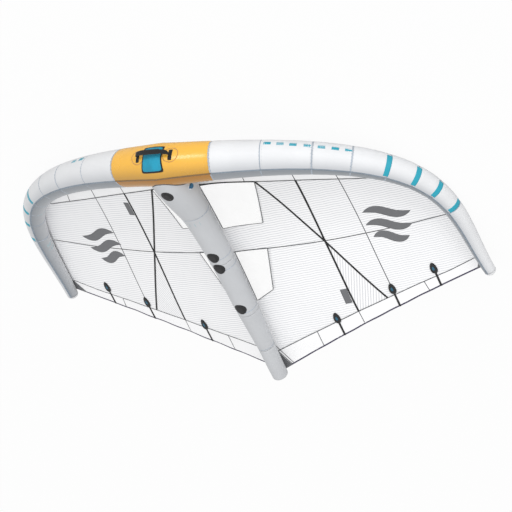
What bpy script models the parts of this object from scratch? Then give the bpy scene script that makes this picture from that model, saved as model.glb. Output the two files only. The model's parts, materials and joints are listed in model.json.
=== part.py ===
# Inflatable hand-held wing for wing foiling: a C-shaped leading edge tube and one central strut,
# both a sewn casing over an air bladder, with a panelled canopy, clear windows and stub battens.
# The wing is drawn in its sailing frame (x to the right, y back, z up) and laid down at the end
# the way it is left on a beach: upside down, strut up, resting on its leading edge tube.

import math

import bmesh
import bpy
import numpy as np
from mathutils import Matrix, Vector

# Leading edge tube
HALF_SPAN = 1.660
TIP_SWEEP = 1.477
TIP_RISE = 0.435
LEADING_PATH_SHARES = ((0, 0, 0), (0.240, 0, 0), (1.146, 0.229, 1.108), (0.953, 0.508, 0.906), (1, 1, 1))
LEADING_ROOT_DIAMETER = 0.285
LEADING_TIP_DIAMETER = 0.080
TIP_DOME_LENGTH = 0.026
TIP_CAP_CLEARANCE = 0.0009
TUBE_STATION_SHARES = (0, 0.05, 0.10, 0.146, 0.22, 0.285, 0.35, 0.40, 0.46, 0.521,
                       0.57, 0.62, 0.665, 0.71, 0.76, 0.84, 0.92, 1.0)
LEADING_SEAM_SHARES = (0.146, 0.35, 0.521, 0.76)
SADDLE_CUTTER_SHARE = 0.22
TUBE_SIDES = 16
CASING_THICKNESS = 0.0012
BLADDER_THICKNESS = 0.0008
BLADDER_CLEARANCE = 0.0008
DOME_STEP_SHARES = ((0.45, 0.86), (0.85, 0.5))

# Canopy
TRAILING_REACH = 1.987
TAIL_HEIGHT = 0.092
TRAILING_HOLLOW = 0.030
TRAILING_SAG = 0.008
SEAT_ANGLE_ROOT = 100.0
SEAT_ANGLE_TIP = 135.0
CAMBER_ROOT_SHARE = 0.047
CAMBER_TIP_SHARE = 0.004
PROFILE_RISE = 0.7
PROFILE_FALL = 1.7
VALLEY_SHARE = 0.0215
VALLEY_RISE = 1.6
VALLEY_FALL = 1.8
VALLEY_WIDTH = 0.100
CANOPY_THICKNESS = 0.0010
CENTRE_CLEARANCE = 0.0007
STRUT_TAPE_WIDTH = 0.060
FRONT_SEAM_AT_STRUT = 0.352
FRONT_SEAM_SLOPE_SHARE = 0.200
MIDDLE_SEAM_AT_STRUT = 0.965
MIDDLE_SEAM_RISE = 0.040
MIDDLE_SEAM_BOW = 0.024
TRAILING_BAND_WIDTH = 0.167
BAND_SEAM_AT_STRUT = TRAILING_REACH - TRAILING_BAND_WIDTH
BAND_SEAM_SLOPE_SHARE = -0.302
FRONT_WINDOW_LENGTH = 0.428
FRONT_WINDOW_REACH = FRONT_SEAM_AT_STRUT + FRONT_WINDOW_LENGTH
REAR_WINDOW_LENGTH = 0.411
REAR_WINDOW_REACH = MIDDLE_SEAM_AT_STRUT + REAR_WINDOW_LENGTH
REAR_WINDOW_SLANT = 0.075
REAR_WINDOW_CORNER = REAR_WINDOW_REACH - REAR_WINDOW_SLANT
WINDOW_FRONT_WIDTH = 0.395
WINDOW_MIDDLE_WIDTH = 0.270
WINDOW_REAR_WIDTH = 0.190
WINDOW_LINE_END = 0.130
COLUMN_SHARES = (0, 0.025, 0.05, 0.10, 0.15, 0.22, 0.285, 0.35, 0.40, 0.46, 0.521, 0.57, 0.605)
TAPE_COLUMN = 1
WINDOW_COLUMN = 4
RAIL_END_SHARES = (0.605, 0.71, 0.81, 0.885, 0.96, 0.992)
RAIL_ROWS = (3, 4, 3, 4, 4, 2)

# Central strut
STRUT_DIAMETERS = (0.275, 0.250, 0.195, 0.178, 0.158, 0.118, 0.110)
STRUT_DIAMETER_SHARES = (0.08, 0.14, 0.25, 0.38, 0.65, 0.86, 1.0)
STRUT_START = 0.035
STRUT_CLEARANCE = 0.0010
STRUT_END_INSET = 0.015
STRUT_END = TRAILING_REACH - STRUT_END_INSET
STRUT_DOME_LENGTH = 0.022
STRUT_SEAM_ROWS = (4, 9, 14, 17)
STRUT_BLADDER_START = 0.150

# Handle mounting pads on the underside of the strut
PAD_DIAMETER = 0.082
PAD_THICKNESS = 0.004
PAD_BOSS_DIAMETER = 0.034
PAD_BOSS_HEIGHT = 0.005
PAD_BLANK_HEIGHT = 0.030
PAD_PLACE_SHARES = (0.085, 0.415, 0.467, 0.655)
PAD_SIDES = 20
PAD_BEVEL_SHARE = 0.80
PAD_SHOULDER_SHARE = 0.60

# Battens and their end caps
BATTEN_WIDTH = 0.009
BATTEN_THICKNESS = 0.003
BATTEN_PLACE_SHARES = (0.31746988, 0.58674699, 0.78012048)
BATTEN_LENGTH = 0.112
BATTEN_STEPS = 3
BATTEN_CAP_LENGTH = 0.092
BATTEN_CAP_WIDTH = 0.044
BATTEN_CAP_HEIGHT = 0.008
BATTEN_CAP_CROWN = 0.001
BATTEN_CAP_POINT_SHARE = 0.5
BATTEN_CAP_RING_SHARES = (0.97, 1.0, 0.80, 0.50)
BATTEN_CAP_SIDES = 16
BATTEN_SEAT = 0.0002

# Front handle and the padded patch behind it
HANDLE_ANGLE = -24.0
HANDLE_HALF_WIDTH = 0.120
HANDLE_RISE = 0.052
HANDLE_STRAP_WIDTH = 0.030
HANDLE_STRAP_THICKNESS = 0.005
HANDLE_END_WIDTH = 0.009
HANDLE_AXIS_HEIGHT = 0.0085
HANDLE_SHOULDER_SHARE = 0.62
HANDLE_STATIONS = 22
ANCHOR_LENGTH = 0.078
ANCHOR_WIDTH = 0.026
ANCHOR_THICKNESS = 0.002
ANCHOR_CLEARANCE = 0.0007
ANCHOR_LUG_THICKNESS = 0.003
ANCHOR_LUG_REACH = 0.0055
ANCHOR_LUG_DRAFT = 0.0002
ANCHOR_STEPS = 8
GUARD_HALF_WIDTH = 0.078
GUARD_TOP_ANGLE = 5.0
GUARD_BOTTOM_ANGLE = -70.0
GUARD_THICKNESS = 0.003
GUARD_CLEARANCE = 0.0009
GUARD_STEPS = 8

# Inflation valve on the root of the strut, and the tube that joins the two bladders
VALVE_PLACE = 0.177
VALVE_ANGLE = 76.0
VALVE_CLEARANCE = 0.0012
VALVE_FLANGE_DIAMETER = 0.052
VALVE_FLANGE_THICKNESS = 0.003
VALVE_BODY_DIAMETER = 0.030
VALVE_BORE_DIAMETER = 0.020
VALVE_BODY_DEPTH = 0.016
VALVE_COLLAR_HEIGHT = 0.010
VALVE_SEAT_BORE = 0.012
VALVE_SEAT_THICKNESS = 0.002
VALVE_CAP_DIAMETER = 0.036
VALVE_CAP_WALL = 0.002
VALVE_TAB_REACH = 0.024
VALVE_TAB_THICKNESS = 0.0018
VALVE_TAB_ANGLE = 16.0
VALVE_HINGE_DIAMETER = 0.004
POPPET_STEM_DIAMETER = 0.006
POPPET_HEAD_DIAMETER = 0.016
POPPET_HEAD_THICKNESS = 0.003
POPPET_BUTTON_DIAMETER = 0.009
POPPET_BUTTON_HEIGHT = 0.003
ROUND_SIDES = 24
HOSE_DIAMETER = 0.018
HOSE_BORE = 0.013
HOSE_FLANGE_DIAMETER = 0.044
HOSE_FLANGE_THICKNESS = 0.002
HOSE_HEIGHT = 0.028
HOSE_CLEARANCE = 0.003

GAP = 0.0003
CUT_OVERRUN = 0.020
FINE_STEPS = 400

COLOURS = {
    "white_casing": (0.90, 0.91, 0.92, 0.62),
    "orange_casing": (0.80, 0.42, 0.07, 0.58),
    "strut_cloth": (0.70, 0.71, 0.73, 0.62),
    "canopy_cloth": (0.86, 0.86, 0.87, 0.55),
    "clear_film": (0.93, 0.95, 0.96, 0.12),
    "bladder_film": (0.62, 0.72, 0.76, 0.30),
    "black_webbing": (0.03, 0.03, 0.03, 0.75),
    "black_rubber": (0.04, 0.04, 0.04, 0.60),
    "cyan_padding": (0.03, 0.42, 0.60, 0.70),
    "valve_plastic": (0.85, 0.86, 0.87, 0.35),
    "valve_cap_plastic": (0.03, 0.10, 0.22, 0.35),
    "batten_fibre": (0.05, 0.05, 0.05, 0.45),
}

# Curves that several pieces share, filled in by main
SHAPE = {}


def clear_scene():
    for item in list(bpy.data.objects):
        bpy.data.objects.remove(item, do_unlink=True)


def surface(name):
    material = bpy.data.materials.get(name)
    if material is None:
        material = bpy.data.materials.new(name)
        material.use_nodes = True
        red, green, blue, roughness = COLOURS[name]
        shader = material.node_tree.nodes["Principled BSDF"]
        shader.inputs["Base Color"].default_value = (red, green, blue, 1)
        shader.inputs["Roughness"].default_value = roughness
    return material


def add_object(name, points, faces, material, parent, closed=False):
    mesh = bpy.data.meshes.new(name)
    mesh.from_pydata([tuple(map(float, p)) for p in points], [], faces)
    if closed:
        shape = bmesh.new()
        shape.from_mesh(mesh)
        bmesh.ops.recalc_face_normals(shape, faces=shape.faces)
        shape.to_mesh(mesh)
        shape.free()
    mesh.materials.append(surface(material))
    mesh.shade_smooth()
    mesh.set_sharp_from_angle(angle=math.radians(40))
    item = bpy.data.objects.new(name, mesh)
    bpy.context.scene.collection.objects.link(item)
    item.parent = parent
    return item


def add_empty(name, matrix, parent=None):
    item = bpy.data.objects.new(name, None)
    bpy.context.scene.collection.objects.link(item)
    item.parent = parent
    item.matrix_local = matrix
    return item


# Gives an open skin its thickness, inwards from its outer face or outwards from its inner face
def thicken(item, thickness, inward=True):
    skin = item.modifiers.new("skin", "SOLIDIFY")
    skin.thickness = thickness
    skin.offset = -1.0 if inward else 1.0
    skin.use_even_offset = True
    return item


def cut(item, cutter):
    tool = item.modifiers.new("cut", "BOOLEAN")
    tool.operation = "DIFFERENCE"
    tool.object = cutter
    return item


def as_cutter(item):
    item.hide_render = True
    item.display_type = "WIRE"
    return item


# Joins rings with as many points each into one skin of four-sided faces
def loft(rings, capped=False, ring_closed=False):
    count = len(rings[0])
    points = [p for ring in rings for p in ring]
    faces = []
    for row in range(len(rings) if ring_closed else len(rings) - 1):
        here = row * count
        there = ((row + 1) % len(rings)) * count
        for side in range(count):
            after = (side + 1) % count
            faces.append((here + side, there + side, there + after, here + after))
    if capped:
        faces.append(tuple(range(count)))
        faces.append(tuple(range(len(points) - count, len(points)))[::-1])
    return points, faces


def close_with_point(points, faces, place, sides):
    first = len(points) - sides
    points.append(place)
    for k in range(sides):
        faces.append((first + k, len(points) - 1, first + (k + 1) % sides))


def turned_ring(radius, height, sides=ROUND_SIDES):
    turn = 2 * math.pi / sides
    return [(radius * math.cos(turn * k), radius * math.sin(turn * k), height) for k in range(sides)]


# A turned piece from (radius, height) pairs: a closed outline with a bore, or a solid stack of rings
def turned_solid(name, outline, material, parent, bored):
    rings = [turned_ring(radius, height) for radius, height in outline]
    points, faces = loft(rings, capped=not bored, ring_closed=bored)
    return add_object(name, points, faces, material, parent, closed=True)


def mirrored(points, side):
    return [(side * p[0], p[1], p[2]) for p in points]


def turned_over(faces, side):
    return faces if side > 0 else [face[::-1] for face in faces]


# The centre line of the leading edge tube, from the middle of the wing to one tip
def leading_point(share):
    weights = [math.comb(4, k) * share ** k * (1 - share) ** (4 - k) for k in range(5)]
    sizes = (HALF_SPAN, TIP_SWEEP, TIP_RISE)
    return np.array([sum(w * row[axis] for w, row in zip(weights, LEADING_PATH_SHARES)) * size
                     for axis, size in enumerate(sizes)])


def leading_frame(share):
    step = 1 / FINE_STEPS
    along = leading_point(share + step) - leading_point(share - step)
    along = along / np.linalg.norm(along)
    rise = np.array([0, 0, 1.0]) - along * along[2]
    rise = rise / np.linalg.norm(rise)
    return along, np.cross(along, rise), rise


def leading_radius(share):
    return (LEADING_ROOT_DIAMETER + (LEADING_TIP_DIAMETER - LEADING_ROOT_DIAMETER) * share) / 2


def seat_angle(share):
    return math.radians(SEAT_ANGLE_ROOT + (SEAT_ANGLE_TIP - SEAT_ANGLE_ROOT) * share)


# A point near the leading edge tube: angle 0 faces outwards, 90 degrees faces up
def tube_point(share, angle, extra=0.0):
    along, outward, rise = leading_frame(share)
    normal = outward * math.cos(angle) + rise * math.sin(angle)
    return leading_point(share) + normal * (leading_radius(share) + extra)


def tube_ring(share, extra=0.0, shift=0.0, scale=1.0):
    along, outward, rise = leading_frame(share)
    radius = (leading_radius(share) + extra) * scale
    ring = []
    for k in range(TUBE_SIDES):
        angle = seat_angle(share) + 2 * math.pi * k / TUBE_SIDES
        normal = outward * math.cos(angle) + rise * math.sin(angle)
        ring.append(leading_point(share) + normal * radius + along * shift)
    return ring


def stations_between(start, end):
    return [s for s in TUBE_STATION_SHARES if start <= s <= end]


# Between two stations the tube runs straight, so pieces that lie on it follow the same straight
def on_straight(share, angle=None, extra=0.0):
    high = min(s for s in TUBE_STATION_SHARES if s >= share)
    low = max(s for s in TUBE_STATION_SHARES if s <= share)
    ends = [tube_point(s, seat_angle(s) if angle is None else angle, extra) for s in (low, high)]
    part = (share - low) / (high - low) if high > low else 0
    return ends[0] * (1 - part) + ends[1] * part


# The share of the tube at which the line at this angle is so far from the middle of the wing
def share_at(x, angle, extra=0.0):
    low, high = 0.0, LEADING_SEAM_SHARES[0]
    for _ in range(FINE_STEPS // 10):
        middle = (low + high) / 2
        if on_straight(middle, angle, extra)[0] < x:
            low = middle
        else:
            high = middle
    return low


def tube_between(start, end, extra=0.0, start_shift=0.0, end_shift=0.0):
    stations = stations_between(start, end)
    rings = [tube_ring(s, extra=extra) for s in stations]
    rings[0] = tube_ring(start, extra=extra, shift=start_shift)
    rings[-1] = tube_ring(end, extra=extra, shift=end_shift)
    return rings


def both_halves(rings):
    return [mirrored(ring, -1) for ring in rings[:0:-1]] + rings


def build_leading_casing(parent, hose_cutter):
    first = LEADING_SEAM_SHARES[0]
    points, faces = loft(both_halves(tube_between(0, first, end_shift=-GAP / 2)))
    centre = add_object("leading_edge_centre", points, faces, "orange_casing", parent)
    thicken(centre, CASING_THICKNESS)
    cut(centre, hose_cutter)
    ends = LEADING_SEAM_SHARES[1:] + (1.0,)
    for name, start, end in zip(("inner", "middle", "outer", "tip"), LEADING_SEAM_SHARES, ends):
        points, faces = loft(tube_between(start, end, 0.0, GAP / 2, -GAP / 2 if end < 1 else 0.0))
        for side, label in ((1, "right"), (-1, "left")):
            item = add_object("leading_edge_%s_%s" % (name, label), mirrored(points, side),
                              turned_over(faces, side), "white_casing", parent)
            thicken(item, CASING_THICKNESS)


# The sewn end of the tube is a shallow dome with its own cap panel
def build_tip_caps(parent):
    rings = [tube_ring(1.0, shift=TIP_CAP_CLEARANCE)]
    for step, scale in DOME_STEP_SHARES:
        rings.append(tube_ring(1.0, shift=TIP_CAP_CLEARANCE + TIP_DOME_LENGTH * step, scale=scale))
    points, faces = loft(rings)
    end = leading_point(1.0) + leading_frame(1.0)[0] * (TIP_CAP_CLEARANCE + TIP_DOME_LENGTH)
    close_with_point(points, faces, end, TUBE_SIDES)
    for side, label in ((1, "right"), (-1, "left")):
        item = add_object("tip_cap_" + label, mirrored(points, side), turned_over(faces, side),
                          "white_casing", parent)
        thicken(item, CASING_THICKNESS)


def build_leading_bladder(parent, hose_cutter):
    inset = -(CASING_THICKNESS + BLADDER_CLEARANCE)
    points, faces = loft(both_halves(tube_between(0, 1.0, extra=inset)), capped=True)
    item = add_object("leading_edge_bladder", points, faces, "bladder_film", parent)
    cut(thicken(item, BLADDER_THICKNESS), hose_cutter)


# The line where the canopy is sewn to the leading edge tube
def seat_point(share):
    return on_straight(share, extra=GAP)


def trailing_point(x):
    tip = seat_point(RAIL_END_SHARES[-1])
    part = min(max(x / tip[0], 0.0), 1.0)
    bend = 4 * part * (1 - part)
    y = TRAILING_REACH + (tip[1] - TRAILING_REACH) * part - TRAILING_HOLLOW * bend
    z = TAIL_HEIGHT + (tip[2] - TAIL_HEIGHT) * part - TRAILING_SAG * bend
    return y, z


def profile_height(part, rise, fall):
    top = rise / (rise + fall)
    return (part / top) ** rise * ((1 - part) / (1 - top)) ** fall


# Height of the canopy cloth above any point between the seat line and the trailing edge: it bulges
# upwards on each side and dips into a valley over the strut
def canopy_height(x, y):
    seat = SHAPE["seat"]
    front_y = np.interp(x, seat[:, 0], seat[:, 1])
    front_z = np.interp(x, seat[:, 0], seat[:, 2])
    back_y, back_z = trailing_point(x)
    chord = max(back_y - front_y, CANOPY_THICKNESS)
    part = min(max((y - front_y) / chord, 0.0), 1.0)
    camber = CAMBER_ROOT_SHARE + (CAMBER_TIP_SHARE - CAMBER_ROOT_SHARE) * (x / HALF_SPAN) ** 2
    valley = math.exp(-x / VALLEY_WIDTH)
    bulge = camber * profile_height(part, PROFILE_RISE, PROFILE_FALL) * (1 - valley)
    dip = VALLEY_SHARE * profile_height(part, VALLEY_RISE, VALLEY_FALL) * valley
    return front_z + (back_z - front_z) * part + (bulge + dip) * chord


# Rails are the seam lines that cross the canopy from the strut to the leading edge tube
def seam_rails():
    columns = [seat_point(s)[0] for s in COLUMN_SHARES]
    reach = seat_point(RAIL_END_SHARES[2])[0]
    corner_slope = (REAR_WINDOW_CORNER - REAR_WINDOW_REACH) / (WINDOW_REAR_WIDTH - STRUT_TAPE_WIDTH)
    rear_floor = seat_point(RAIL_END_SHARES[3])[1]

    def middle(x):
        part = x / reach
        return MIDDLE_SEAM_AT_STRUT + MIDDLE_SEAM_RISE * part + 4 * MIDDLE_SEAM_BOW * part * (1 - part)

    lines = (
        lambda x: FRONT_SEAM_AT_STRUT + FRONT_SEAM_SLOPE_SHARE * x,
        lambda x: FRONT_WINDOW_REACH,
        middle,
        lambda x: max(REAR_WINDOW_REACH + corner_slope * (x - STRUT_TAPE_WIDTH), rear_floor),
        lambda x: BAND_SEAM_AT_STRUT + BAND_SEAM_SLOPE_SHARE * x,
        lambda x: trailing_point(x)[0],
    )
    edge_places = (FRONT_SEAM_AT_STRUT, MIDDLE_SEAM_AT_STRUT, REAR_WINDOW_CORNER, TRAILING_REACH)
    edge_widths = (WINDOW_FRONT_WIDTH, WINDOW_MIDDLE_WIDTH, WINDOW_REAR_WIDTH, WINDOW_LINE_END)
    places = (FRONT_SEAM_AT_STRUT, FRONT_WINDOW_REACH, MIDDLE_SEAM_AT_STRUT, REAR_WINDOW_CORNER,
              BAND_SEAM_AT_STRUT, TRAILING_REACH)
    rails = []
    for line, place in zip(lines, places):
        width = np.interp(place, edge_places, edge_widths)
        rail = []
        for column, plain in enumerate(columns[:-1]):
            if column <= TAPE_COLUMN:
                x = STRUT_TAPE_WIDTH * column / TAPE_COLUMN
            elif column <= WINDOW_COLUMN:
                part = (column - TAPE_COLUMN) / (WINDOW_COLUMN - TAPE_COLUMN)
                x = STRUT_TAPE_WIDTH + (width - STRUT_TAPE_WIDTH) * part
            else:
                outer = columns[WINDOW_COLUMN]
                x = width + (plain - outer) * (columns[-2] - width) / (columns[-2] - outer)
            rail.append((x, line(x)))
        rails.append(rail)
    return rails


# All the points of one half of the canopy, row by row from the seat line to the trailing edge
def canopy_grid():
    start = [tuple(seat_point(s)) for s in COLUMN_SHARES[:-1]]
    low = (COLUMN_SHARES[-2] + COLUMN_SHARES[-1]) / 2
    grid = [start + [tuple(seat_point(low))]]
    for rail, rows, high in zip(seam_rails(), RAIL_ROWS, RAIL_END_SHARES):
        for row in range(1, rows + 1):
            part = row / rows
            line = []
            for a, b in zip(start, rail):
                x, y = a[0] + (b[0] - a[0]) * part, a[1] + (b[1] - a[1]) * part
                line.append((x, y, canopy_height(x, y)))
            grid.append(line + [tuple(seat_point(low + (high - low) * part))])
        start, low = rail, high
    return grid


# A cloth panel made from some cells of the canopy grid, drawn in a little from its seams
def build_panel(name, grid, cells, side, material, parent):
    centres = {}
    for row, column in cells:
        corners = [(row + i, column + j) for i in (0, 1) for j in (0, 1)]
        centre = sum(np.array(grid[r][c]) for r, c in corners) / 4
        for corner in corners:
            centres.setdefault(corner, []).append(centre)
    index, points = {}, []
    for key in sorted(centres):
        place = np.array(grid[key[0]][key[1]])
        if len(centres[key]) < 4 and key[0] > 0:
            pull = sum(centres[key]) / len(centres[key]) - place
            place = place + pull / np.linalg.norm(pull) * GAP
        if key[1] == 0:
            place[0] = CENTRE_CLEARANCE
        index[key] = len(points)
        points.append(place)
    faces = [(index[r, c], index[r, c + 1], index[r + 1, c + 1], index[r + 1, c]) for r, c in sorted(cells)]
    item = add_object(name, mirrored(points, side), turned_over(faces, side), material, parent)
    return thicken(item, CANOPY_THICKNESS, inward=False)


def build_canopy(grid, parent):
    marks = [sum(RAIL_ROWS[:k]) for k in range(len(RAIL_ROWS) + 1)]
    cells = lambda first, last, columns: {(r, c) for r in range(marks[first], marks[last]) for c in columns}
    every = range(len(COLUMN_SHARES) - 1)
    pane = range(TAPE_COLUMN, WINDOW_COLUMN)
    plan = (
        ("canopy_front_strip", cells(0, 1, every), "canopy_cloth"),
        ("canopy_front_panel", cells(1, 3, every) - cells(1, 2, pane), "canopy_cloth"),
        ("canopy_rear_panel", cells(3, 5, every) - cells(3, 4, pane), "canopy_cloth"),
        ("trailing_edge_band", cells(5, 6, every), "canopy_cloth"),
        ("window_front", cells(1, 2, pane), "clear_film"),
        ("window_rear", cells(3, 4, pane), "clear_film"),
    )
    for name, part_cells, material in plan:
        for side, label in ((1, "right"), (-1, "left")):
            build_panel("%s_%s" % (name, label), grid, part_cells, side, material, parent)


# The strut hangs just under the canopy and has its rings where the canopy has its rows
def strut_lines(grid):
    spine = [row[0][1] for row in grid]
    knots = [share * TRAILING_REACH for share in STRUT_DIAMETER_SHARES]
    low = []
    for y, row in zip(spine, grid):
        flat = np.interp(y, knots, STRUT_DIAMETERS) / 2 * math.sin(math.pi / TUBE_SIDES)
        low.append(min(row[0][2], row[0][2] + (row[1][2] - row[0][2]) * flat / row[1][0]))
    places = [STRUT_START] + spine[1:-1] + [STRUT_END]
    ridge = np.interp(places, spine, low)
    radii = np.interp(places, knots, STRUT_DIAMETERS) / 2
    return np.array(places), ridge - STRUT_CLEARANCE - radii * math.cos(math.pi / TUBE_SIDES), radii


def strut_at(y):
    places, centres, radii = SHAPE["strut"]
    return np.interp(y, places, centres), np.interp(y, places, radii)


def strut_ring(y, extra=0.0, scale=1.0, at=None):
    centre, radius = strut_at(y)
    radius = (radius + extra) * scale
    ring = []
    for k in range(TUBE_SIDES):
        angle = 2 * math.pi * (k + 0.5) / TUBE_SIDES
        ring.append((radius * math.sin(angle), y if at is None else at, centre + radius * math.cos(angle)))
    return ring


def build_strut(parent, valve_cutter, hose_cutter, saddle_cutter):
    places = list(SHAPE["strut"][0])
    bounds = (0,) + STRUT_SEAM_ROWS + (len(places) - 1,)
    for number, (low, high) in enumerate(zip(bounds, bounds[1:]), 1):
        last = number == len(bounds) - 1
        rings = [strut_ring(y) for y in places[low:high + 1]]
        if number > 1:
            rings[0] = strut_ring(places[low], at=places[low] + GAP / 2)
        if last:
            rings += [strut_ring(STRUT_END, scale=scale, at=STRUT_END + STRUT_DOME_LENGTH * step)
                      for step, scale in DOME_STEP_SHARES]
        else:
            rings[-1] = strut_ring(places[high], at=places[high] - GAP / 2)
        points, faces = loft(rings)
        if last:
            tail = (0, STRUT_END + STRUT_DOME_LENGTH, strut_at(STRUT_END)[0])
            close_with_point(points, faces, tail, TUBE_SIDES)
        item = add_object("strut_casing_%d" % number, points, turned_over(faces, -1), "strut_cloth", parent)
        thicken(item, CASING_THICKNESS)
        if number == 1:
            cut(item, saddle_cutter)
            cut(item, valve_cutter)
    inset = -(CASING_THICKNESS + BLADDER_CLEARANCE)
    rings = [strut_ring(y, extra=inset) for y in [STRUT_BLADDER_START] + places if y >= STRUT_BLADDER_START]
    points, faces = loft(rings, capped=True)
    item = add_object("strut_bladder", points, turned_over(faces, -1), "bladder_film", parent)
    thicken(item, BLADDER_THICKNESS)
    cut(item, valve_cutter)
    cut(item, hose_cutter)


def strut_underside(x, y):
    centre, radius = strut_at(y)
    return centre - math.sqrt(radius ** 2 - x ** 2)


# A rubber pad wraps the underside of the strut; its flat boss takes a handle plate
def build_pads(parent, strut_cutter):
    for number, share in enumerate(PAD_PLACE_SHARES, 1):
        middle = share * TRAILING_REACH
        level = strut_underside(0, middle)
        reach = PAD_DIAMETER / 2
        slope = (strut_underside(0, middle + reach) - strut_underside(0, middle - reach)) / PAD_DIAMETER

        def ring(radius, height):
            out = []
            for k in range(PAD_SIDES):
                angle = 2 * math.pi * k / PAD_SIDES
                x, run = radius * math.cos(angle), radius * math.sin(angle)
                out.append((x, middle + run, height(x, run)))
            return out

        flat = lambda depth: lambda x, run: level + slope * run - depth
        wrapped = lambda depth: lambda x, run: strut_underside(x, middle + run) - depth
        rings = [ring(reach, flat(-PAD_BLANK_HEIGHT)),
                 ring(reach, wrapped(GAP + PAD_THICKNESS / 2)),
                 ring(reach * PAD_BEVEL_SHARE, wrapped(GAP + PAD_THICKNESS)),
                 ring(reach * PAD_SHOULDER_SHARE, wrapped(GAP + PAD_THICKNESS)),
                 ring(PAD_BOSS_DIAMETER / 2, flat(GAP + PAD_BOSS_HEIGHT))]
        points, faces = loft(rings, capped=True)
        item = add_object("handle_pad_%d" % number, points, faces, "black_rubber", parent, closed=True)
        cut(item, strut_cutter)


# Battens and caps lie against the underside of the cloth
def under_cloth(x, y, drop):
    return (x, y, canopy_height(x, y) - drop)


def build_battens(parent):
    for number, share in enumerate(BATTEN_PLACE_SHARES, 1):
        x = share * HALF_SPAN
        end = trailing_point(x)[0] - GAP
        half, top, bottom = BATTEN_WIDTH / 2, BATTEN_SEAT, BATTEN_SEAT + BATTEN_THICKNESS
        rings = []
        for k in range(BATTEN_STEPS + 1):
            y = end - BATTEN_LENGTH * k / BATTEN_STEPS
            rings.append([under_cloth(x - half, y, top), under_cloth(x + half, y, top),
                          under_cloth(x + half, y, bottom), under_cloth(x - half, y, bottom)])
        points, faces = loft(rings, capped=True)
        cap_points, cap_faces = loft(cap_rings(x, end - BATTEN_LENGTH - GAP), capped=True)
        for side, label in ((1, "right"), (-1, "left")):
            add_object("batten_%s_%d" % (label, number), mirrored(points, side), faces,
                       "batten_fibre", parent, closed=True)
            add_object("batten_cap_%s_%d" % (label, number), mirrored(cap_points, side), cap_faces,
                       "black_rubber", parent, closed=True)


# A batten cap is a teardrop with its round end towards the trailing edge
def cap_rings(x, back):
    middle = back - BATTEN_CAP_LENGTH / 2
    depths = (0, BATTEN_CAP_HEIGHT / 2, BATTEN_CAP_HEIGHT, BATTEN_CAP_HEIGHT + BATTEN_CAP_CROWN)
    rings = []
    for scale, depth in zip(BATTEN_CAP_RING_SHARES, depths):
        ring = []
        for k in range(BATTEN_CAP_SIDES):
            angle = 2 * math.pi * k / BATTEN_CAP_SIDES
            narrowing = 1 - (1 - math.cos(angle)) / 2 * BATTEN_CAP_POINT_SHARE
            along = BATTEN_CAP_LENGTH / 2 * math.cos(angle) * scale
            across = BATTEN_CAP_WIDTH / 2 * math.sin(angle) * narrowing * scale
            ring.append(under_cloth(x + across, middle + along, BATTEN_SEAT + depth))
        rings.append(ring)
    return rings


# The front handle swings on a line through its two anchors; across the line it points outwards
def handle_frame():
    angle = math.radians(HANDLE_ANGLE)
    share = share_at(HANDLE_HALF_WIDTH, angle, HANDLE_AXIS_HEIGHT)
    seat = on_straight(share, angle, HANDLE_AXIS_HEIGHT)
    across = Vector((1, 0, 0))
    outward = Vector((0, -math.cos(angle), math.sin(angle)))
    matrix = Matrix((across, outward.cross(across), outward)).transposed().to_4x4()
    matrix.translation = Vector((0, seat[1], seat[2]))
    return matrix


def build_front_handle(parent):
    hinge = add_empty("front_handle_hinge", handle_frame(), parent)
    path = []
    for k in range(HANDLE_STATIONS + 1):
        turn = math.pi * k / HANDLE_STATIONS
        reach = math.copysign(abs(math.cos(turn)) ** HANDLE_SHOULDER_SHARE, -math.cos(turn))
        path.append((HANDLE_HALF_WIDTH * reach, HANDLE_RISE * math.sin(turn) ** HANDLE_SHOULDER_SHARE))
    sections = []
    for k, (x, lift) in enumerate(path):
        before, after = path[max(k - 1, 0)], path[min(k + 1, HANDLE_STATIONS)]
        run = Vector((after[0] - before[0], 0, after[1] - before[1])).normalized()
        outward = Vector((-run.z, 0, run.x))
        widening = min(1.0, lift / (HANDLE_RISE * HANDLE_SHOULDER_SHARE))
        half = (HANDLE_END_WIDTH + (HANDLE_STRAP_WIDTH - HANDLE_END_WIDTH) * widening) / 2
        thick = HANDLE_STRAP_THICKNESS / 2
        corners = ((-half, -thick), (half, -thick), (half, thick), (-half, thick))
        sections.append([tuple(Vector((x, a, lift)) + outward * b) for a, b in corners])
    points, faces = loft(sections, capped=True)
    add_object("front_handle", points, faces, "black_webbing", hinge, closed=True)


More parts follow.
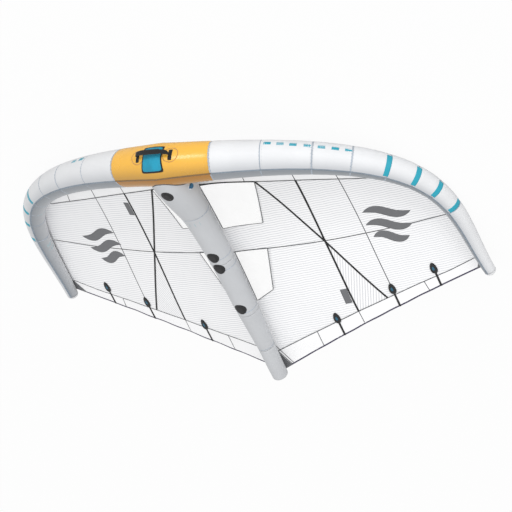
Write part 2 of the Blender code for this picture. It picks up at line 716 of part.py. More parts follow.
# An anchor is a sewn plate on the tube with a lug beside the end of the strap
def build_handle_anchors(parent):
    start = HANDLE_HALF_WIDTH + HANDLE_STRAP_THICKNESS / 2 + GAP
    places = (start - ANCHOR_WIDTH / 2, start, start + ANCHOR_LUG_DRAFT, start + ANCHOR_LUG_THICKNESS,
              start + ANCHOR_WIDTH / 2)
    half_arc = ANCHOR_LENGTH / LEADING_ROOT_DIAMETER
    base, top = [], []
    for i, x in enumerate(places):
        for k in range(ANCHOR_STEPS + 1):
            angle = math.radians(HANDLE_ANGLE) + half_arc * (2 * k / ANCHOR_STEPS - 1)
            is_lug = i in (2, 3) and abs(k - ANCHOR_STEPS / 2) <= 1
            lift = HANDLE_AXIS_HEIGHT + ANCHOR_LUG_REACH if is_lug else ANCHOR_CLEARANCE + ANCHOR_THICKNESS
            base.append(on_straight(share_at(x, angle, ANCHOR_CLEARANCE), angle, ANCHOR_CLEARANCE))
            top.append(on_straight(share_at(x, angle, lift), angle, lift))
    wide, offset = ANCHOR_STEPS + 1, len(base)
    faces = []
    for i in range(len(places) - 1):
        for k in range(ANCHOR_STEPS):
            quad = (i * wide + k, i * wide + k + 1, (i + 1) * wide + k + 1, (i + 1) * wide + k)
            faces += [quad, tuple(corner + offset for corner in quad)]
    last = len(places) - 1
    loop = [k for k in range(wide)] + [i * wide + ANCHOR_STEPS for i in range(1, last + 1)]
    loop += [last * wide + k for k in range(ANCHOR_STEPS - 1, -1, -1)]
    loop += [i * wide for i in range(last - 1, 0, -1)]
    faces += [(a, b, b + offset, a + offset) for a, b in zip(loop, loop[1:] + loop[:1])]
    for side, label in ((1, "right"), (-1, "left")):
        add_object("handle_anchor_" + label, mirrored(base + top, side), faces, "black_webbing",
                   parent, closed=True)


def build_guard(parent):
    low, high = math.radians(GUARD_BOTTOM_ANGLE), math.radians(GUARD_TOP_ANGLE)
    angles = [low + (high - low) * k / GUARD_STEPS for k in range(GUARD_STEPS + 1)]
    points = []
    for i in range(GUARD_STEPS + 1):
        x = GUARD_HALF_WIDTH * (2 * i / GUARD_STEPS - 1)
        for angle in angles:
            place = on_straight(share_at(abs(x), angle, GUARD_CLEARANCE), angle, GUARD_CLEARANCE)
            points.append((x, place[1], place[2]))
    wide = GUARD_STEPS + 1
    faces = [(i * wide + k, (i + 1) * wide + k, (i + 1) * wide + k + 1, i * wide + k + 1)
             for i in range(GUARD_STEPS) for k in range(GUARD_STEPS)]
    item = add_object("knuckle_guard", points, faces, "cyan_padding", parent)
    thicken(item, GUARD_THICKNESS, inward=False)


# The valve stands square on the side of the strut root
def valve_frame():
    angle = math.radians(VALVE_ANGLE)
    (near_centre, near_radius), (far_centre, far_radius) = [
        strut_at(VALVE_PLACE + side * VALVE_FLANGE_DIAMETER / 2) for side in (-1, 1)]
    centre, radius = strut_at(VALVE_PLACE)
    spoke = Vector((math.sin(angle), 0, -math.cos(angle)))
    along = Vector((0, VALVE_FLANGE_DIAMETER, far_centre - near_centre)) + spoke * (far_radius - near_radius)
    along.normalize()
    normal = (spoke - along * spoke.dot(along)).normalized()
    matrix = Matrix((-along.cross(normal), -along, normal)).transposed().to_4x4()
    matrix.translation = Vector((0, VALVE_PLACE, centre)) + spoke * radius
    return matrix


# The rim of the valve cap has a tab that reaches out to the hinge line
def cap_ring(radius, height, hinge_x, tab=False):
    ring = []
    for k in range(ROUND_SIDES):
        angle = 2 * math.pi * k / ROUND_SIDES
        reach = VALVE_TAB_REACH if tab and abs(angle - math.pi) < math.radians(VALVE_TAB_ANGLE) else radius
        ring.append((reach * math.cos(angle) - hinge_x, radius * math.sin(angle), height))
    return ring


def build_valve(parent):
    seat = add_empty("valve_seat", valve_frame(), parent)
    flange, body, bore = VALVE_FLANGE_DIAMETER / 2, VALVE_BODY_DIAMETER / 2, VALVE_BORE_DIAMETER / 2
    hole, base = VALVE_SEAT_BORE / 2, VALVE_CLEARANCE
    shelf, rim = base + VALVE_FLANGE_THICKNESS, base + VALVE_COLLAR_HEIGHT
    ledge = VALVE_SEAT_THICKNESS - VALVE_BODY_DEPTH
    outline = [(hole, -VALVE_BODY_DEPTH), (body, -VALVE_BODY_DEPTH), (body, base), (flange, base),
               (flange, base + VALVE_FLANGE_THICKNESS / 2), (body, shelf), (body - VALVE_CAP_WALL, rim),
               (bore, rim), (bore, ledge), (hole, ledge)]
    turned_solid("valve_body", outline, "valve_plastic", seat, bored=True)
    stem, head, button = POPPET_STEM_DIAMETER / 2, POPPET_HEAD_DIAMETER / 2, POPPET_BUTTON_DIAMETER / 2
    low, top = -VALVE_BODY_DEPTH - GAP, -VALVE_BODY_DEPTH / 4
    outline = [(head, low - POPPET_HEAD_THICKNESS), (head, low), (stem, low),
               (stem, top - POPPET_BUTTON_HEIGHT), (button, top - POPPET_BUTTON_HEIGHT), (button, top)]
    turned_solid("valve_poppet", outline, "valve_plastic", seat, bored=False)
    hinge_x = VALVE_HINGE_DIAMETER - flange
    hinge_z = shelf + VALVE_HINGE_DIAMETER / 2 + GAP
    hinge = add_empty("valve_cap_hinge", Matrix.Translation((hinge_x, 0, hinge_z)), seat)
    outer, inner = VALVE_CAP_DIAMETER / 2, VALVE_CAP_DIAMETER / 2 - VALVE_CAP_WALL
    low, roof = shelf + GAP - hinge_z, rim + GAP - hinge_z
    rings = [cap_ring(inner / 2, roof, hinge_x), cap_ring(inner, roof, hinge_x),
             cap_ring(inner, low, hinge_x), cap_ring(outer, low, hinge_x, tab=True),
             cap_ring(outer, low + VALVE_TAB_THICKNESS, hinge_x, tab=True),
             cap_ring(outer - GAP, low + VALVE_TAB_THICKNESS, hinge_x),
             cap_ring(outer - GAP, roof, hinge_x), cap_ring(inner, roof + VALVE_CAP_WALL, hinge_x)]
    points, faces = loft(rings, capped=True)
    add_object("valve_cap", points, faces, "valve_cap_plastic", hinge, closed=True)


# A short tube with two flanges lets air pass from the strut into the leading edge
def hose_frame():
    return Matrix.Translation((0, 0, HOSE_HEIGHT)) @ Matrix.Rotation(-math.pi / 2, 4, "X")


def build_hose(parent):
    inside = leading_radius(0) - CASING_THICKNESS - BLADDER_CLEARANCE - BLADDER_THICKNESS
    edge = HOSE_HEIGHT + HOSE_FLANGE_DIAMETER / 2
    front = math.sqrt(inside ** 2 - edge ** 2) - HOSE_FLANGE_THICKNESS - HOSE_CLEARANCE
    back = STRUT_BLADDER_START + BLADDER_THICKNESS + GAP
    outer, bore, flange = HOSE_DIAMETER / 2, HOSE_BORE / 2, HOSE_FLANGE_DIAMETER / 2
    thick = HOSE_FLANGE_THICKNESS
    outline = [(bore, front), (flange, front), (flange, front + thick), (outer, front + thick),
               (outer, back), (flange, back), (flange, back + thick), (bore, back + thick)]
    item = turned_solid("transfer_hose", outline, "valve_plastic", parent, bored=True)
    item.matrix_local = hose_frame()


def round_cutter(name, matrix, diameter, low, high, parent):
    wall = [(diameter / 2, low), (diameter / 2, high)]
    item = turned_solid(name, wall, "black_rubber", parent, bored=False)
    item.matrix_local = matrix
    return as_cutter(item)


def lofted_cutter(name, rings, parent):
    points, faces = loft(rings, capped=True)
    return as_cutter(add_object(name, points, faces, "black_rubber", parent, closed=True))


# Lays the wing on its back: pitched until the tube touches at its middle and near its tips
def lay_down(wing):
    turned = Matrix.Rotation(math.pi, 4, "Y")
    bpy.context.view_layer.update()
    places = [turned @ item.matrix_world @ corner.co for item in bpy.data.objects
              if item.type == "MESH" and not item.hide_render for corner in item.data.vertices]
    hull = []
    for y, z in sorted((p.y, p.z) for p in places):
        while len(hull) > 1:
            (ay, az), (by, bz) = hull[-2:]
            if (by - ay) * (z - az) > (bz - az) * (y - ay):
                break
            hull.pop()
        hull.append((y, z))
    balance = sum(p.y for p in places) / len(places)
    slope = next((bz - az) / (by - ay) for (ay, az), (by, bz) in zip(hull, hull[1:]) if ay <= balance <= by)
    level = Matrix.Rotation(-math.atan(slope), 4, "X")
    laid = [level @ p for p in places]
    low = Vector([min(p[axis] for p in laid) for axis in range(3)])
    high = Vector([max(p[axis] for p in laid) for axis in range(3)])
    middle = (low + high) / 2
    wing.matrix_world = Matrix.Translation((-middle.x, -middle.y, -low.z)) @ level @ turned
    bpy.context.view_layer.update()


def main():
    clear_scene()
    wing = add_empty("wing", Matrix.Identity(4))
    seat = np.array([seat_point(k / FINE_STEPS) for k in range(FINE_STEPS + 1)])
    seat[:, 0] = np.maximum.accumulate(seat[:, 0])
    SHAPE["seat"] = seat
    grid = canopy_grid()
    SHAPE["strut"] = strut_lines(grid)

    overrun = VALVE_BODY_DEPTH + CUT_OVERRUN
    valve_cutter = round_cutter("valve_hole", valve_frame(), VALVE_BODY_DIAMETER + 2 * GAP,
                                -overrun, overrun, wing)
    hose_cutter = round_cutter("hose_hole", hose_frame(), HOSE_DIAMETER + 2 * GAP,
                               leading_radius(0) / 2, STRUT_BLADDER_START + CUT_OVERRUN, wing)
    saddle_rings = both_halves(tube_between(0, SADDLE_CUTTER_SHARE, GAP))
    saddle_cutter = lofted_cutter("saddle_shape", saddle_rings, wing)
    strut_cutter = lofted_cutter("strut_shape", [strut_ring(y, GAP) for y in SHAPE["strut"][0]], wing)

    build_canopy(grid, wing)
    build_leading_casing(wing, hose_cutter)
    build_tip_caps(wing)
    build_leading_bladder(wing, hose_cutter)
    build_strut(wing, valve_cutter, hose_cutter, saddle_cutter)
    build_pads(wing, strut_cutter)
    build_battens(wing)
    build_front_handle(wing)
    build_handle_anchors(wing)
    build_guard(wing)
    build_valve(wing)
    build_hose(wing)
    lay_down(wing)


main()
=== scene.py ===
import json
import math

import bmesh
import bpy
import numpy as np
from mathutils import Matrix, Vector


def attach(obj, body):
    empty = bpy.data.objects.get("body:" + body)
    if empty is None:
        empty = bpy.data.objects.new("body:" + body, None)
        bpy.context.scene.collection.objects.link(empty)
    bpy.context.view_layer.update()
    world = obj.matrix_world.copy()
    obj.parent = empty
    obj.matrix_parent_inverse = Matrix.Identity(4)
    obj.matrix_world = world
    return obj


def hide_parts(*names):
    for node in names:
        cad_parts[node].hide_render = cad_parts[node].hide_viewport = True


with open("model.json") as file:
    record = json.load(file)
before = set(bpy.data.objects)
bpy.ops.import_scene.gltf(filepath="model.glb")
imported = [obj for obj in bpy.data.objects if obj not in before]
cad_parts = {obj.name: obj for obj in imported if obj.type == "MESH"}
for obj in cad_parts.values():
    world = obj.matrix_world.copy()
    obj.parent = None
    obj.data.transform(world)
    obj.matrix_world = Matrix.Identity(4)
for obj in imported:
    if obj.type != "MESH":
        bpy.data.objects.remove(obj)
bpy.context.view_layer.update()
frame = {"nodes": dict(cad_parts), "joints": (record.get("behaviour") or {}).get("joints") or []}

# An inflatable hand-held wing. Shapes are worked out as the wing flies (x right, y back, z up)
# and then laid on its back, strut up, the way the CAD frame has it.
joints = {joint["name"]: joint for joint in frame["joints"]}
halves = ((1, "right"), (-1, "left"))
print("frame loaded,", len(frame["nodes"]), "nodes")

layDown = {"pitch": 5.59877407, "back": -0.90057337, "lift": 0.38842875}


def laid(points):
    x, y, z = np.moveaxis(np.asarray(points, float), -1, 0)
    c, s = math.cos(math.radians(layDown["pitch"])), math.sin(math.radians(layDown["pitch"]))
    return np.stack((-x, c * y + s * z + layDown["back"], s * y - c * z + layDown["lift"]), -1)


def laidWay(direction):
    return laid(direction) - laid((0, 0, 0))


# Values of any shape, side by side in a new last place
def joined(*values):
    return np.stack(np.broadcast_arrays(*values), -1)


def unit(vectors):
    return vectors / np.linalg.norm(vectors, axis=-1, keepdims=True)


def runOf(points):
    return np.concatenate(((0.0,), np.cumsum(np.linalg.norm(np.diff(points, axis=0), axis=1))))


def spaced(low, high, spacing):
    return np.linspace(low, high, max(2, round(abs(high - low) / spacing) + 1))


# The angles around a closed ring; the last one closes it, for the cloth map
def circle(count):
    return np.linspace(0, 2 * math.pi, count + 1)


# Leading edge tube
tube = {
    "halfSpan": 1.660, "tipSweep": 1.477, "tipRise": 0.435,
    "path": ((0, 0, 0), (0.240, 0, 0), (1.146, 0.229, 1.108), (0.953, 0.508, 0.906), (1, 1, 1)),
    "rootDiameter": 0.285, "tipDiameter": 0.080, "clothThickness": 0.0009,
    "panelEnds": {"inner": (0.146, 0.35), "middle": (0.35, 0.521), "outer": (0.521, 0.76),
                  "tip": (0.76, 1.0)},
    "rings": (0.146, 0.25, 0.35, 0.433, 0.521, 0.598, 0.672, 0.76),
    "sides": 80, "spacing": 0.013, "mapRadius": 0.115,
    "waist": 0.0016, "waistReach": 0.018, "pucker": 0.0005, "puckerReach": 0.028, "puckers": 30,
    "buckle": 0.0009, "buckleStart": 0.22, "buckleLength": 0.052,
}
seatLine = {"rootAngle": 100.0, "tipAngle": 135.0, "end": 0.992, "gap": 0.0003}


def leadingPoint(share):
    s = np.asarray(share, float)[..., None]
    weights = [math.comb(4, k) * s ** k * (1 - s) ** (4 - k) for k in range(5)]
    sizes = np.array((tube["halfSpan"], tube["tipSweep"], tube["tipRise"]))
    return sum(w * np.array(row, float) for w, row in zip(weights, tube["path"])) * sizes


def leadingFrame(share):
    step = 1 / 400
    along = unit(leadingPoint(np.asarray(share) + step) - leadingPoint(np.asarray(share) - step))
    rise = unit(np.array((0, 0, 1.0)) - along * along[..., 2:3])
    return along, np.cross(along, rise), rise


def leadingRadius(share):
    return (tube["rootDiameter"] + (tube["tipDiameter"] - tube["rootDiameter"]) * share) / 2


fineShares = np.linspace(0, 1, 801)
fineArcs = runOf(leadingPoint(fineShares))


def arcOf(share):
    return np.interp(share, fineShares, fineArcs)


def shareOf(arc):
    return np.interp(arc, fineArcs, fineShares)


def seatAngle(share):
    return np.radians(seatLine["rootAngle"] + (seatLine["tipAngle"] - seatLine["rootAngle"]) * share)


# A blown-up casing is drawn in at each sewn ring, with small puckers, and buckles on its inner bend
def casingRelief(arc, angle):
    arc, angle = np.broadcast_arrays(arc, angle)
    relief = np.zeros(arc.shape)
    for ring in tube["rings"]:
        away = arc - arcOf(ring)
        gathers = np.sin(tube["puckers"] * angle + 70 * ring)
        relief -= tube["waist"] * np.exp(-(away / tube["waistReach"]) ** 2)
        relief += tube["pucker"] * np.exp(-(away / tube["puckerReach"]) ** 2) * gathers
    bent = np.clip((shareOf(arc) - tube["buckleStart"]) * 6, 0, 1)
    folds = np.sin(arc * 2 * math.pi / tube["buckleLength"] + 1.6 * np.sin(3 * angle))
    return relief + tube["buckle"] * np.clip(-np.cos(angle), 0, 1) ** 2 * bent * folds


# Angle 0 faces forward, 90 degrees up; a negative arc is the other half of the wing
def tubeAt(arc, angle, lift=0.0, relief=True):
    arc, angle, lift = np.broadcast_arrays(np.asarray(arc, float), angle, lift)
    share = shareOf(np.abs(arc))
    along, outward, rise = leadingFrame(share)
    normal = outward * np.cos(angle)[..., None] + rise * np.sin(angle)[..., None]
    radius = leadingRadius(share) + lift + (casingRelief(np.abs(arc), angle) if relief else 0)
    place = leadingPoint(share) + normal * radius[..., None]
    place[..., 0] *= np.where(arc < 0, -1, 1)
    return place


# The line where the canopy is sewn to the tube
def seatPoint(share):
    return tubeAt(arcOf(share), seatAngle(share), seatLine["gap"], relief=False)


seatCurve = seatPoint(np.linspace(0, 1, 401))
seatRun = np.maximum.accumulate(seatCurve[:, 0]) + np.arange(401) * 1e-9
tipSeat = seatPoint(seatLine["end"])

# Shape of the canopy
canopy = {
    "trailingReach": 1.987, "tailHeight": 0.092, "hollow": 0.030, "sag": 0.008,
    "camberRoot": 0.047, "camberTip": 0.004, "rise": 0.7, "fall": 1.7,
    "valley": 0.0215, "valleyRise": 1.6, "valleyFall": 1.8, "valleyWidth": 0.100,
    "flutter": 0.0022, "flutterLength": 0.215, "billow": 0.0016,
    "columns": (0, 0.025, 0.05, 0.10, 0.15, 0.22, 0.285, 0.35, 0.40, 0.46, 0.521, 0.57, 0.605),
    "railEnds": (0.605, 0.71, 0.81, 0.885, 0.96, 0.992), "railRows": (3, 4, 3, 4, 4, 2), "cellSteps": 8,
    "tapeWidth": 0.042, "frontSeam": (0.335, 0.200), "bandSeam": (1.824, -0.330, 0.035),
    "middleSeam": ((0.0, 0.943), (0.27, 0.969), (0.67, 1.003), (0.95, 0.997), (1.5, 0.982)),
    "frontWindowReach": (0.735, 0.10), "rearWindowReach": 1.372, "rearWindowCorner": 1.308,
    "windowWidths": ((0.352, 0.965, 1.301, 1.987), (0.398, 0.268, 0.182, 0.130)),
    "railReaches": (0.352, 0.780, 0.965, 1.301, 1.820, 1.987),
    "clothThickness": 0.0007, "filmThickness": 0.0004,
}


def trailingAt(x):
    part = np.clip(np.asarray(x, float) / tipSeat[0], 0, 1)
    bend = 4 * part * (1 - part)
    y = canopy["trailingReach"] + (tipSeat[1] - canopy["trailingReach"]) * part - canopy["hollow"] * bend
    z = canopy["tailHeight"] + (tipSeat[2] - canopy["tailHeight"]) * part - canopy["sag"] * bend
    return y, z


def arched(part, rise, fall):
    top = rise / (rise + fall)
    return (part / top) ** rise * ((1 - part) / (1 - top)) ** fall


# Height of the underside of the cloth; away from its seams the cloth is never quite smooth
def clothHeight(x, y):
    x, y = np.broadcast_arrays(np.abs(np.asarray(x, float)), np.asarray(y, float))
    frontY, frontZ = (np.interp(x, seatRun, seatCurve[:, k]) for k in (1, 2))
    backY, backZ = trailingAt(x)
    chord = np.maximum(backY - frontY, 0.001)
    part = np.clip((y - frontY) / chord, 0, 1)
    root, tip = canopy["camberRoot"], canopy["camberTip"]
    camber = root + (tip - root) * (x / tube["halfSpan"]) ** 2
    valley = np.exp(-x / canopy["valleyWidth"])
    bulge = camber * arched(part, canopy["rise"], canopy["fall"]) * (1 - valley)
    dip = canopy["valley"] * arched(part, canopy["valleyRise"], canopy["valleyFall"]) * valley
    free = np.clip(x / 0.25 - 0.4, 0, 1) * np.clip((1.45 - x) / 0.3, 0, 1)
    loose = np.sin(9 * x + 2.4 * y) * np.sin(7.5 * y - 3 * x + 0.6) * np.clip(part * 6, 0, 1)
    ripple = np.sin(2 * math.pi * x / canopy["flutterLength"])
    edge = canopy["flutter"] * np.clip((part - 0.84) / 0.16, 0, 1) ** 2 * ripple
    height = frontZ + (backZ - frontZ) * part + (bulge + dip) * chord
    return height + free * (canopy["billow"] * loose + edge)


def clothAt(x, y, lift=0.0):
    return joined(x, y, clothHeight(x, y) - lift)


def middleSeamAt(x):
    return np.polyval(np.polyfit(*zip(*canopy["middleSeam"]), 3), x)


# The lines that cross the canopy: front seam, window end, middle seam, window end, band, edge.
# Columns 1 to 4 cross the windows, and the last column bends every line back to the tube.
def railPlace(rail, column):
    column = np.asarray(column, float)
    tape, width = canopy["tapeWidth"], np.interp(canopy["railReaches"][rail], *canopy["windowWidths"])
    plain = seatPoint(np.interp(column, range(len(canopy["columns"])), canopy["columns"]))[..., 0]
    first, final = (seatPoint(canopy["columns"][k])[0] for k in (4, 11))
    last = seatPoint(canopy["railEnds"][rail])
    outer = width + (plain - first) * (final - width) / (final - first)
    inner = tape + (width - tape) * (column - 1) / 3
    x = np.where(column <= 1, tape * column, np.where(column <= 4, inner, outer))
    slope = (canopy["rearWindowCorner"] - canopy["rearWindowReach"]) / (width - tape)
    y = (canopy["frontSeam"][0] + canopy["frontSeam"][1] * x,
         canopy["frontWindowReach"][0] + canopy["frontWindowReach"][1] * np.minimum(x, 0.35),
         middleSeamAt(x),
         np.maximum(canopy["rearWindowReach"] + slope * (x - tape), last[1]),
         np.polyval(canopy["bandSeam"][::-1], x),
         trailingAt(x)[0])[rail]
    beyond = np.clip(column - 11, 0, 1)
    if np.any(beyond > 0):
        bendX, bendY = railPlace(rail, np.minimum(column, 11.0))
        x = np.where(beyond > 0, bendX + (last[0] - bendX) * beyond, x)
        y = np.where(beyond > 0, bendY + (last[1] - bendY) * beyond, y)
    return x, y


# Finely spaced points of one half of the canopy, between two of its lines and two of its columns
def canopyPatch(rail, lowColumn, highColumn):
    steps = canopy["cellSteps"]
    low = (canopy["columns"][-2] + canopy["columns"][-1]) / 2
    column = np.linspace(lowColumn, highColumn, (highColumn - lowColumn) * steps + 1)
    seat = seatPoint(np.interp(column, range(13), [*canopy["columns"][:-1], low]))
    start = (seat[:, 0], seat[:, 1]) if rail == 0 else railPlace(rail - 1, column)
    end = railPlace(rail, column)
    first = low if rail == 0 else canopy["railEnds"][rail - 1]
    part = np.linspace(0, 1, canopy["railRows"][rail] * steps + 1)[:, None]
    x, y = (a + (b - a) * part for a, b in zip(start, end))
    rim = seatPoint(first + (canopy["railEnds"][rail] - first) * part[:, 0])
    pull = np.clip(column - 11, 0, 1) ** 2 * (highColumn == 12)
    x = x + (rim[:, 0] - x[:, -1])[:, None] * pull
    y = y + (rim[:, 1] - y[:, -1])[:, None] * pull
    z = clothHeight(x, y)
    z = z + (rim[:, 2] - z[:, -1])[:, None] * pull
    if rail == 0:
        z[0] = seat[:, 2]
    return joined(x, y, z), joined(x, y)


# Shape of the strut
strut = {
    "diameters": (0.275, 0.250, 0.195, 0.178, 0.158, 0.118, 0.110),
    "places": (0.159, 0.278, 0.497, 0.755, 1.292, 1.709, 1.987),
    "start": 0.035, "end": 1.972, "domeLength": 0.023, "clearance": 0.0010, "clothThickness": 0.0009,
    "panelEnds": (0.459, 0.903, 1.376, 1.709), "rings": (0.459, 0.856, 0.955, 1.340, 1.700),
    "sides": 72, "spacing": 0.012, "smoothing": 12,
    "waist": 0.0016, "waistReach": 0.018, "pucker": 0.0005, "puckerReach": 0.026, "puckers": 26,
}
fineRun = np.linspace(0, 2.0, 401)


def eased(values):
    reach = strut["smoothing"]
    window = np.hanning(2 * reach + 1)
    padded = np.concatenate((np.full(reach, values[0]), values, np.full(reach, values[-1])))
    return np.convolve(padded, window / window.sum(), "valid")


# The strut hangs just under the valley of the canopy
def strutLines():
    radius = np.interp(fineRun, strut["places"], strut["diameters"]) / 2
    corner = math.pi / 16
    ridge = np.minimum(clothHeight(0, fineRun), clothHeight(radius * math.sin(corner), fineRun))
    centre = ridge - strut["clearance"] - radius * math.cos(corner)
    root = fineRun < seatCurve[0, 1]
    centre[root] = centre[~root][0]
    return eased(radius), eased(centre)


fineRadius, fineCentre = strutLines()


def strutCentre(y):
    return np.interp(y, fineRun, fineCentre)


def strutRadius(y):
    return np.interp(y, fineRun, fineRadius)


# Angle 0 is the middle of the strut's underside
def strutAt(y, angle, lift=0.0):
    y, angle, lift = np.broadcast_arrays(np.asarray(y, float), angle, lift)
    radius = strutRadius(y) + lift
    for ring in strut["rings"]:
        gathers = np.sin(strut["puckers"] * angle + 60 * ring)
        radius = radius - strut["waist"] * np.exp(-((y - ring) / strut["waistReach"]) ** 2)
        radius = radius + strut["pucker"] * np.exp(-((y - ring) / strut["puckerReach"]) ** 2) * gathers
    x = radius * np.sin(angle)
    z = strutCentre(y) - radius * np.cos(angle)
    roof = clothHeight(x, y) - 0.0008
    behind = y > np.interp(np.abs(x), seatRun, seatCurve[:, 1]) + 0.002
    return joined(x, y, np.where(behind, np.minimum(z, roof), z))


# Joins points that lie together, and turns the faces outwards
def mended(mesh, near=0.0, outwards=True):
    shape = bmesh.new()
    shape.from_mesh(mesh)
    if near:
        bmesh.ops.remove_doubles(shape, verts=shape.verts, dist=near)
    if outwards:
        bmesh.ops.recalc_face_normals(shape, faces=shape.faces)
    shape.to_mesh(mesh)
    shape.free()


# Makes one piece from grids of points, each with its cloth map; a map with one more column closes the ring
def addSkins(name, skins, finish, thick=0.0, side=1, placed=False, body="wing", caps=(), solid=False,
             sharp=42):
    points, faces, corners = [], [], []
    turn = slice(None, None, -1) if side < 0 else slice(None)
    for grid, uv in skins:
        rows, columns = grid.shape[:2]
        index = sum(len(p) for p in points) + np.arange(rows * columns).reshape(rows, columns)
        if uv.shape[1] == columns + 1:
            index = np.concatenate((index, index[:, :1]), 1)
        quads, places = (np.stack((a[:-1, :-1], a[1:, :-1], a[1:, 1:], a[:-1, 1:]), 2) for a in (index, uv))
        points.append(grid.reshape(-1, 3) * (side, 1, 1))
        faces += [tuple(map(int, quad[turn])) for quad in quads.reshape(-1, 4)]
        corners += [place[turn] for place in places.reshape(-1, 4, 2)]
        for row in caps:
            faces.append(tuple(map(int, index[row, :columns])))
            corners.append(uv[row, :columns])
    spots = np.concatenate(points)
    mesh = bpy.data.meshes.new(name)
    mesh.from_pydata((spots if placed else laid(spots)).tolist(), [], faces)
    layer = mesh.uv_layers.new(name="clothMap")
    layer.data.foreach_set("uv", np.concatenate(corners).astype(np.float32).ravel())
    if solid:
        mended(mesh)
    mesh.materials.append(finish)
    mesh.shade_smooth()
    mesh.set_sharp_from_angle(angle=math.radians(sharp))
    piece = bpy.data.objects.new(name, mesh)
    bpy.context.scene.collection.objects.link(piece)
    if thick:
        skin = piece.modifiers.new("cloth thickness", "SOLIDIFY")
        skin.thickness, skin.offset, skin.use_even_offset = thick, 0.0, True
    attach(piece, body)
    return piece


# A full sleeve of the leading edge around these arcs
def sleeve(arcs, lift=0.0):
    turns = circle(tube["sides"]) - math.pi / 2
    return tubeAt(arcs[:, None], turns[:-1], lift), joined(arcs[:, None], turns * tube["mapRadius"])


# A patch that lies on the leading edge
def tubePatch(arcs, angles, lift):
    arcs, angles = np.broadcast_arrays(arcs, angles)
    return tubeAt(arcs, angles, lift), joined(arcs, angles * tube["mapRadius"])


# A strip laid on the underside of the cloth along a line of (x, y) points; widths may change along it
def clothStrip(path, widths, lift, spacing=0.012, columns=3):
    lengths = runOf(np.asarray(path, float))
    run = spaced(0, lengths[-1], spacing)
    x, y = (np.interp(run, lengths, line) for line in zip(*path))
    along = unit(joined(np.gradient(x), np.gradient(y)))
    widths = np.interp(run / lengths[-1], np.linspace(0, 1, np.size(widths)), np.atleast_1d(widths))
    across = widths[:, None] * np.linspace(-0.5, 0.5, columns)
    spots = clothAt(x[:, None] - along[:, 1:] * across, y[:, None] + along[:, :1] * across, lift)
    return spots, joined(run[:, None], across)


# Finishes, all from shader nodes
def newFinish(name):
    material = bpy.data.materials.new(name)
    material.use_nodes = True
    return material, material.node_tree, material.node_tree.nodes["Principled BSDF"]


def fill(tree, socket, value):
    if isinstance(value, bpy.types.NodeSocket):
        tree.links.new(value, socket)
    else:
        socket.default_value = value


def put(tree, kind, sockets=None, **settings):
    node = tree.nodes.new("ShaderNode" + kind)
    for key, value in settings.items():
        setattr(node, key, value)
    for key, value in (sockets or {}).items():
        fill(tree, node.inputs[key], value)
    return node


def sums(tree, operation, a, b=0.0, c=0.0):
    return put(tree, "Math", {0: a, 1: b, 2: c}, operation=operation).outputs[0]


def times(tree, a, b):
    return sums(tree, "MULTIPLY", a, b)


def between(tree, value, low, high, toLow=0.0, toHigh=1.0):
    sockets = {"Value": value, "From Min": low, "From Max": high, "To Min": toLow, "To Max": toHigh}
    return put(tree, "MapRange", sockets, interpolation_type="SMOOTHSTEP").outputs[0]


def mixed(tree, share, a, b):
    return put(tree, "Mix", {0: share, 6: a, 7: b}, data_type="RGBA").outputs[2]


def noise(tree, scale, detail, **more):
    place = put(tree, "TexCoord").outputs["Object"]
    return put(tree, "TexNoise", {"Vector": place, "Scale": scale, "Detail": detail, **more}).outputs[0]


def linear(code):
    parts = [int(code[k:k + 2], 16) / 255 for k in (1, 3, 5)]
    return tuple(p / 12.92 if p <= 0.04045 else ((p + 0.055) / 1.055) ** 2.4 for p in parts) + (1.0,)


def darker(code, loss):
    return tuple(c * (1 - loss) for c in linear(code)[:3]) + (1,)


# A colour that is a little darker here and there
def mottled(tree, cloud, colour, loss):
    return mixed(tree, between(tree, cloud, 0.35, 0.65), darker(colour, loss), linear(colour))


def clothCoordinates(tree):
    uv = put(tree, "UVMap", uv_map="clothMap").outputs[0]
    split = put(tree, "SeparateXYZ", {0: uv})
    return uv, split.outputs[0], split.outputs[1]


# 1 on a row of lines spaced this far apart, 0 between them
def lines(tree, value, spacing, width):
    return between(tree, sums(tree, "PINGPONG", value, spacing / 2), width / 2, width / 2 * 0.35)


def bumped(tree, shader, heights):
    normal = None
    for height, distance in heights:
        sockets = {"Height": height, "Distance": distance, "Strength": 1.0}
        if normal is not None:
            sockets["Normal"] = normal
        normal = put(tree, "Bump", sockets).outputs[0]
    tree.links.new(normal, shader.inputs["Normal"])


def waves(tree, value, length):
    return sums(tree, "SINE", times(tree, value, 2 * math.pi / length))


# Coated sail cloth: plain weave, ripstop threads, faint mottling and soft crumples
casingCloth = {"thread": 0.0011, "grid": 0.0065, "gridTint": 0.03, "mottle": 0.035, "roughness": 0.46,
               "sheen": 0.08, "specular": 0.38, "crumple": 0.0016, "crumpleScale": 9.0, "relief": 0.00012}
sailCloth = {"thread": 0.0008, "grid": 0.0050, "gridTint": 0.035, "mottle": 0.025, "roughness": 0.52,
             "sheen": 0.05, "specular": 0.30, "crumple": 0.0022, "crumpleScale": 7.0, "relief": 0.00009}
glossyCloth = dict(casingCloth, roughness=0.24, specular=0.6, crumple=0.0008, relief=0.00001)
ripstopWidth = 0.0009


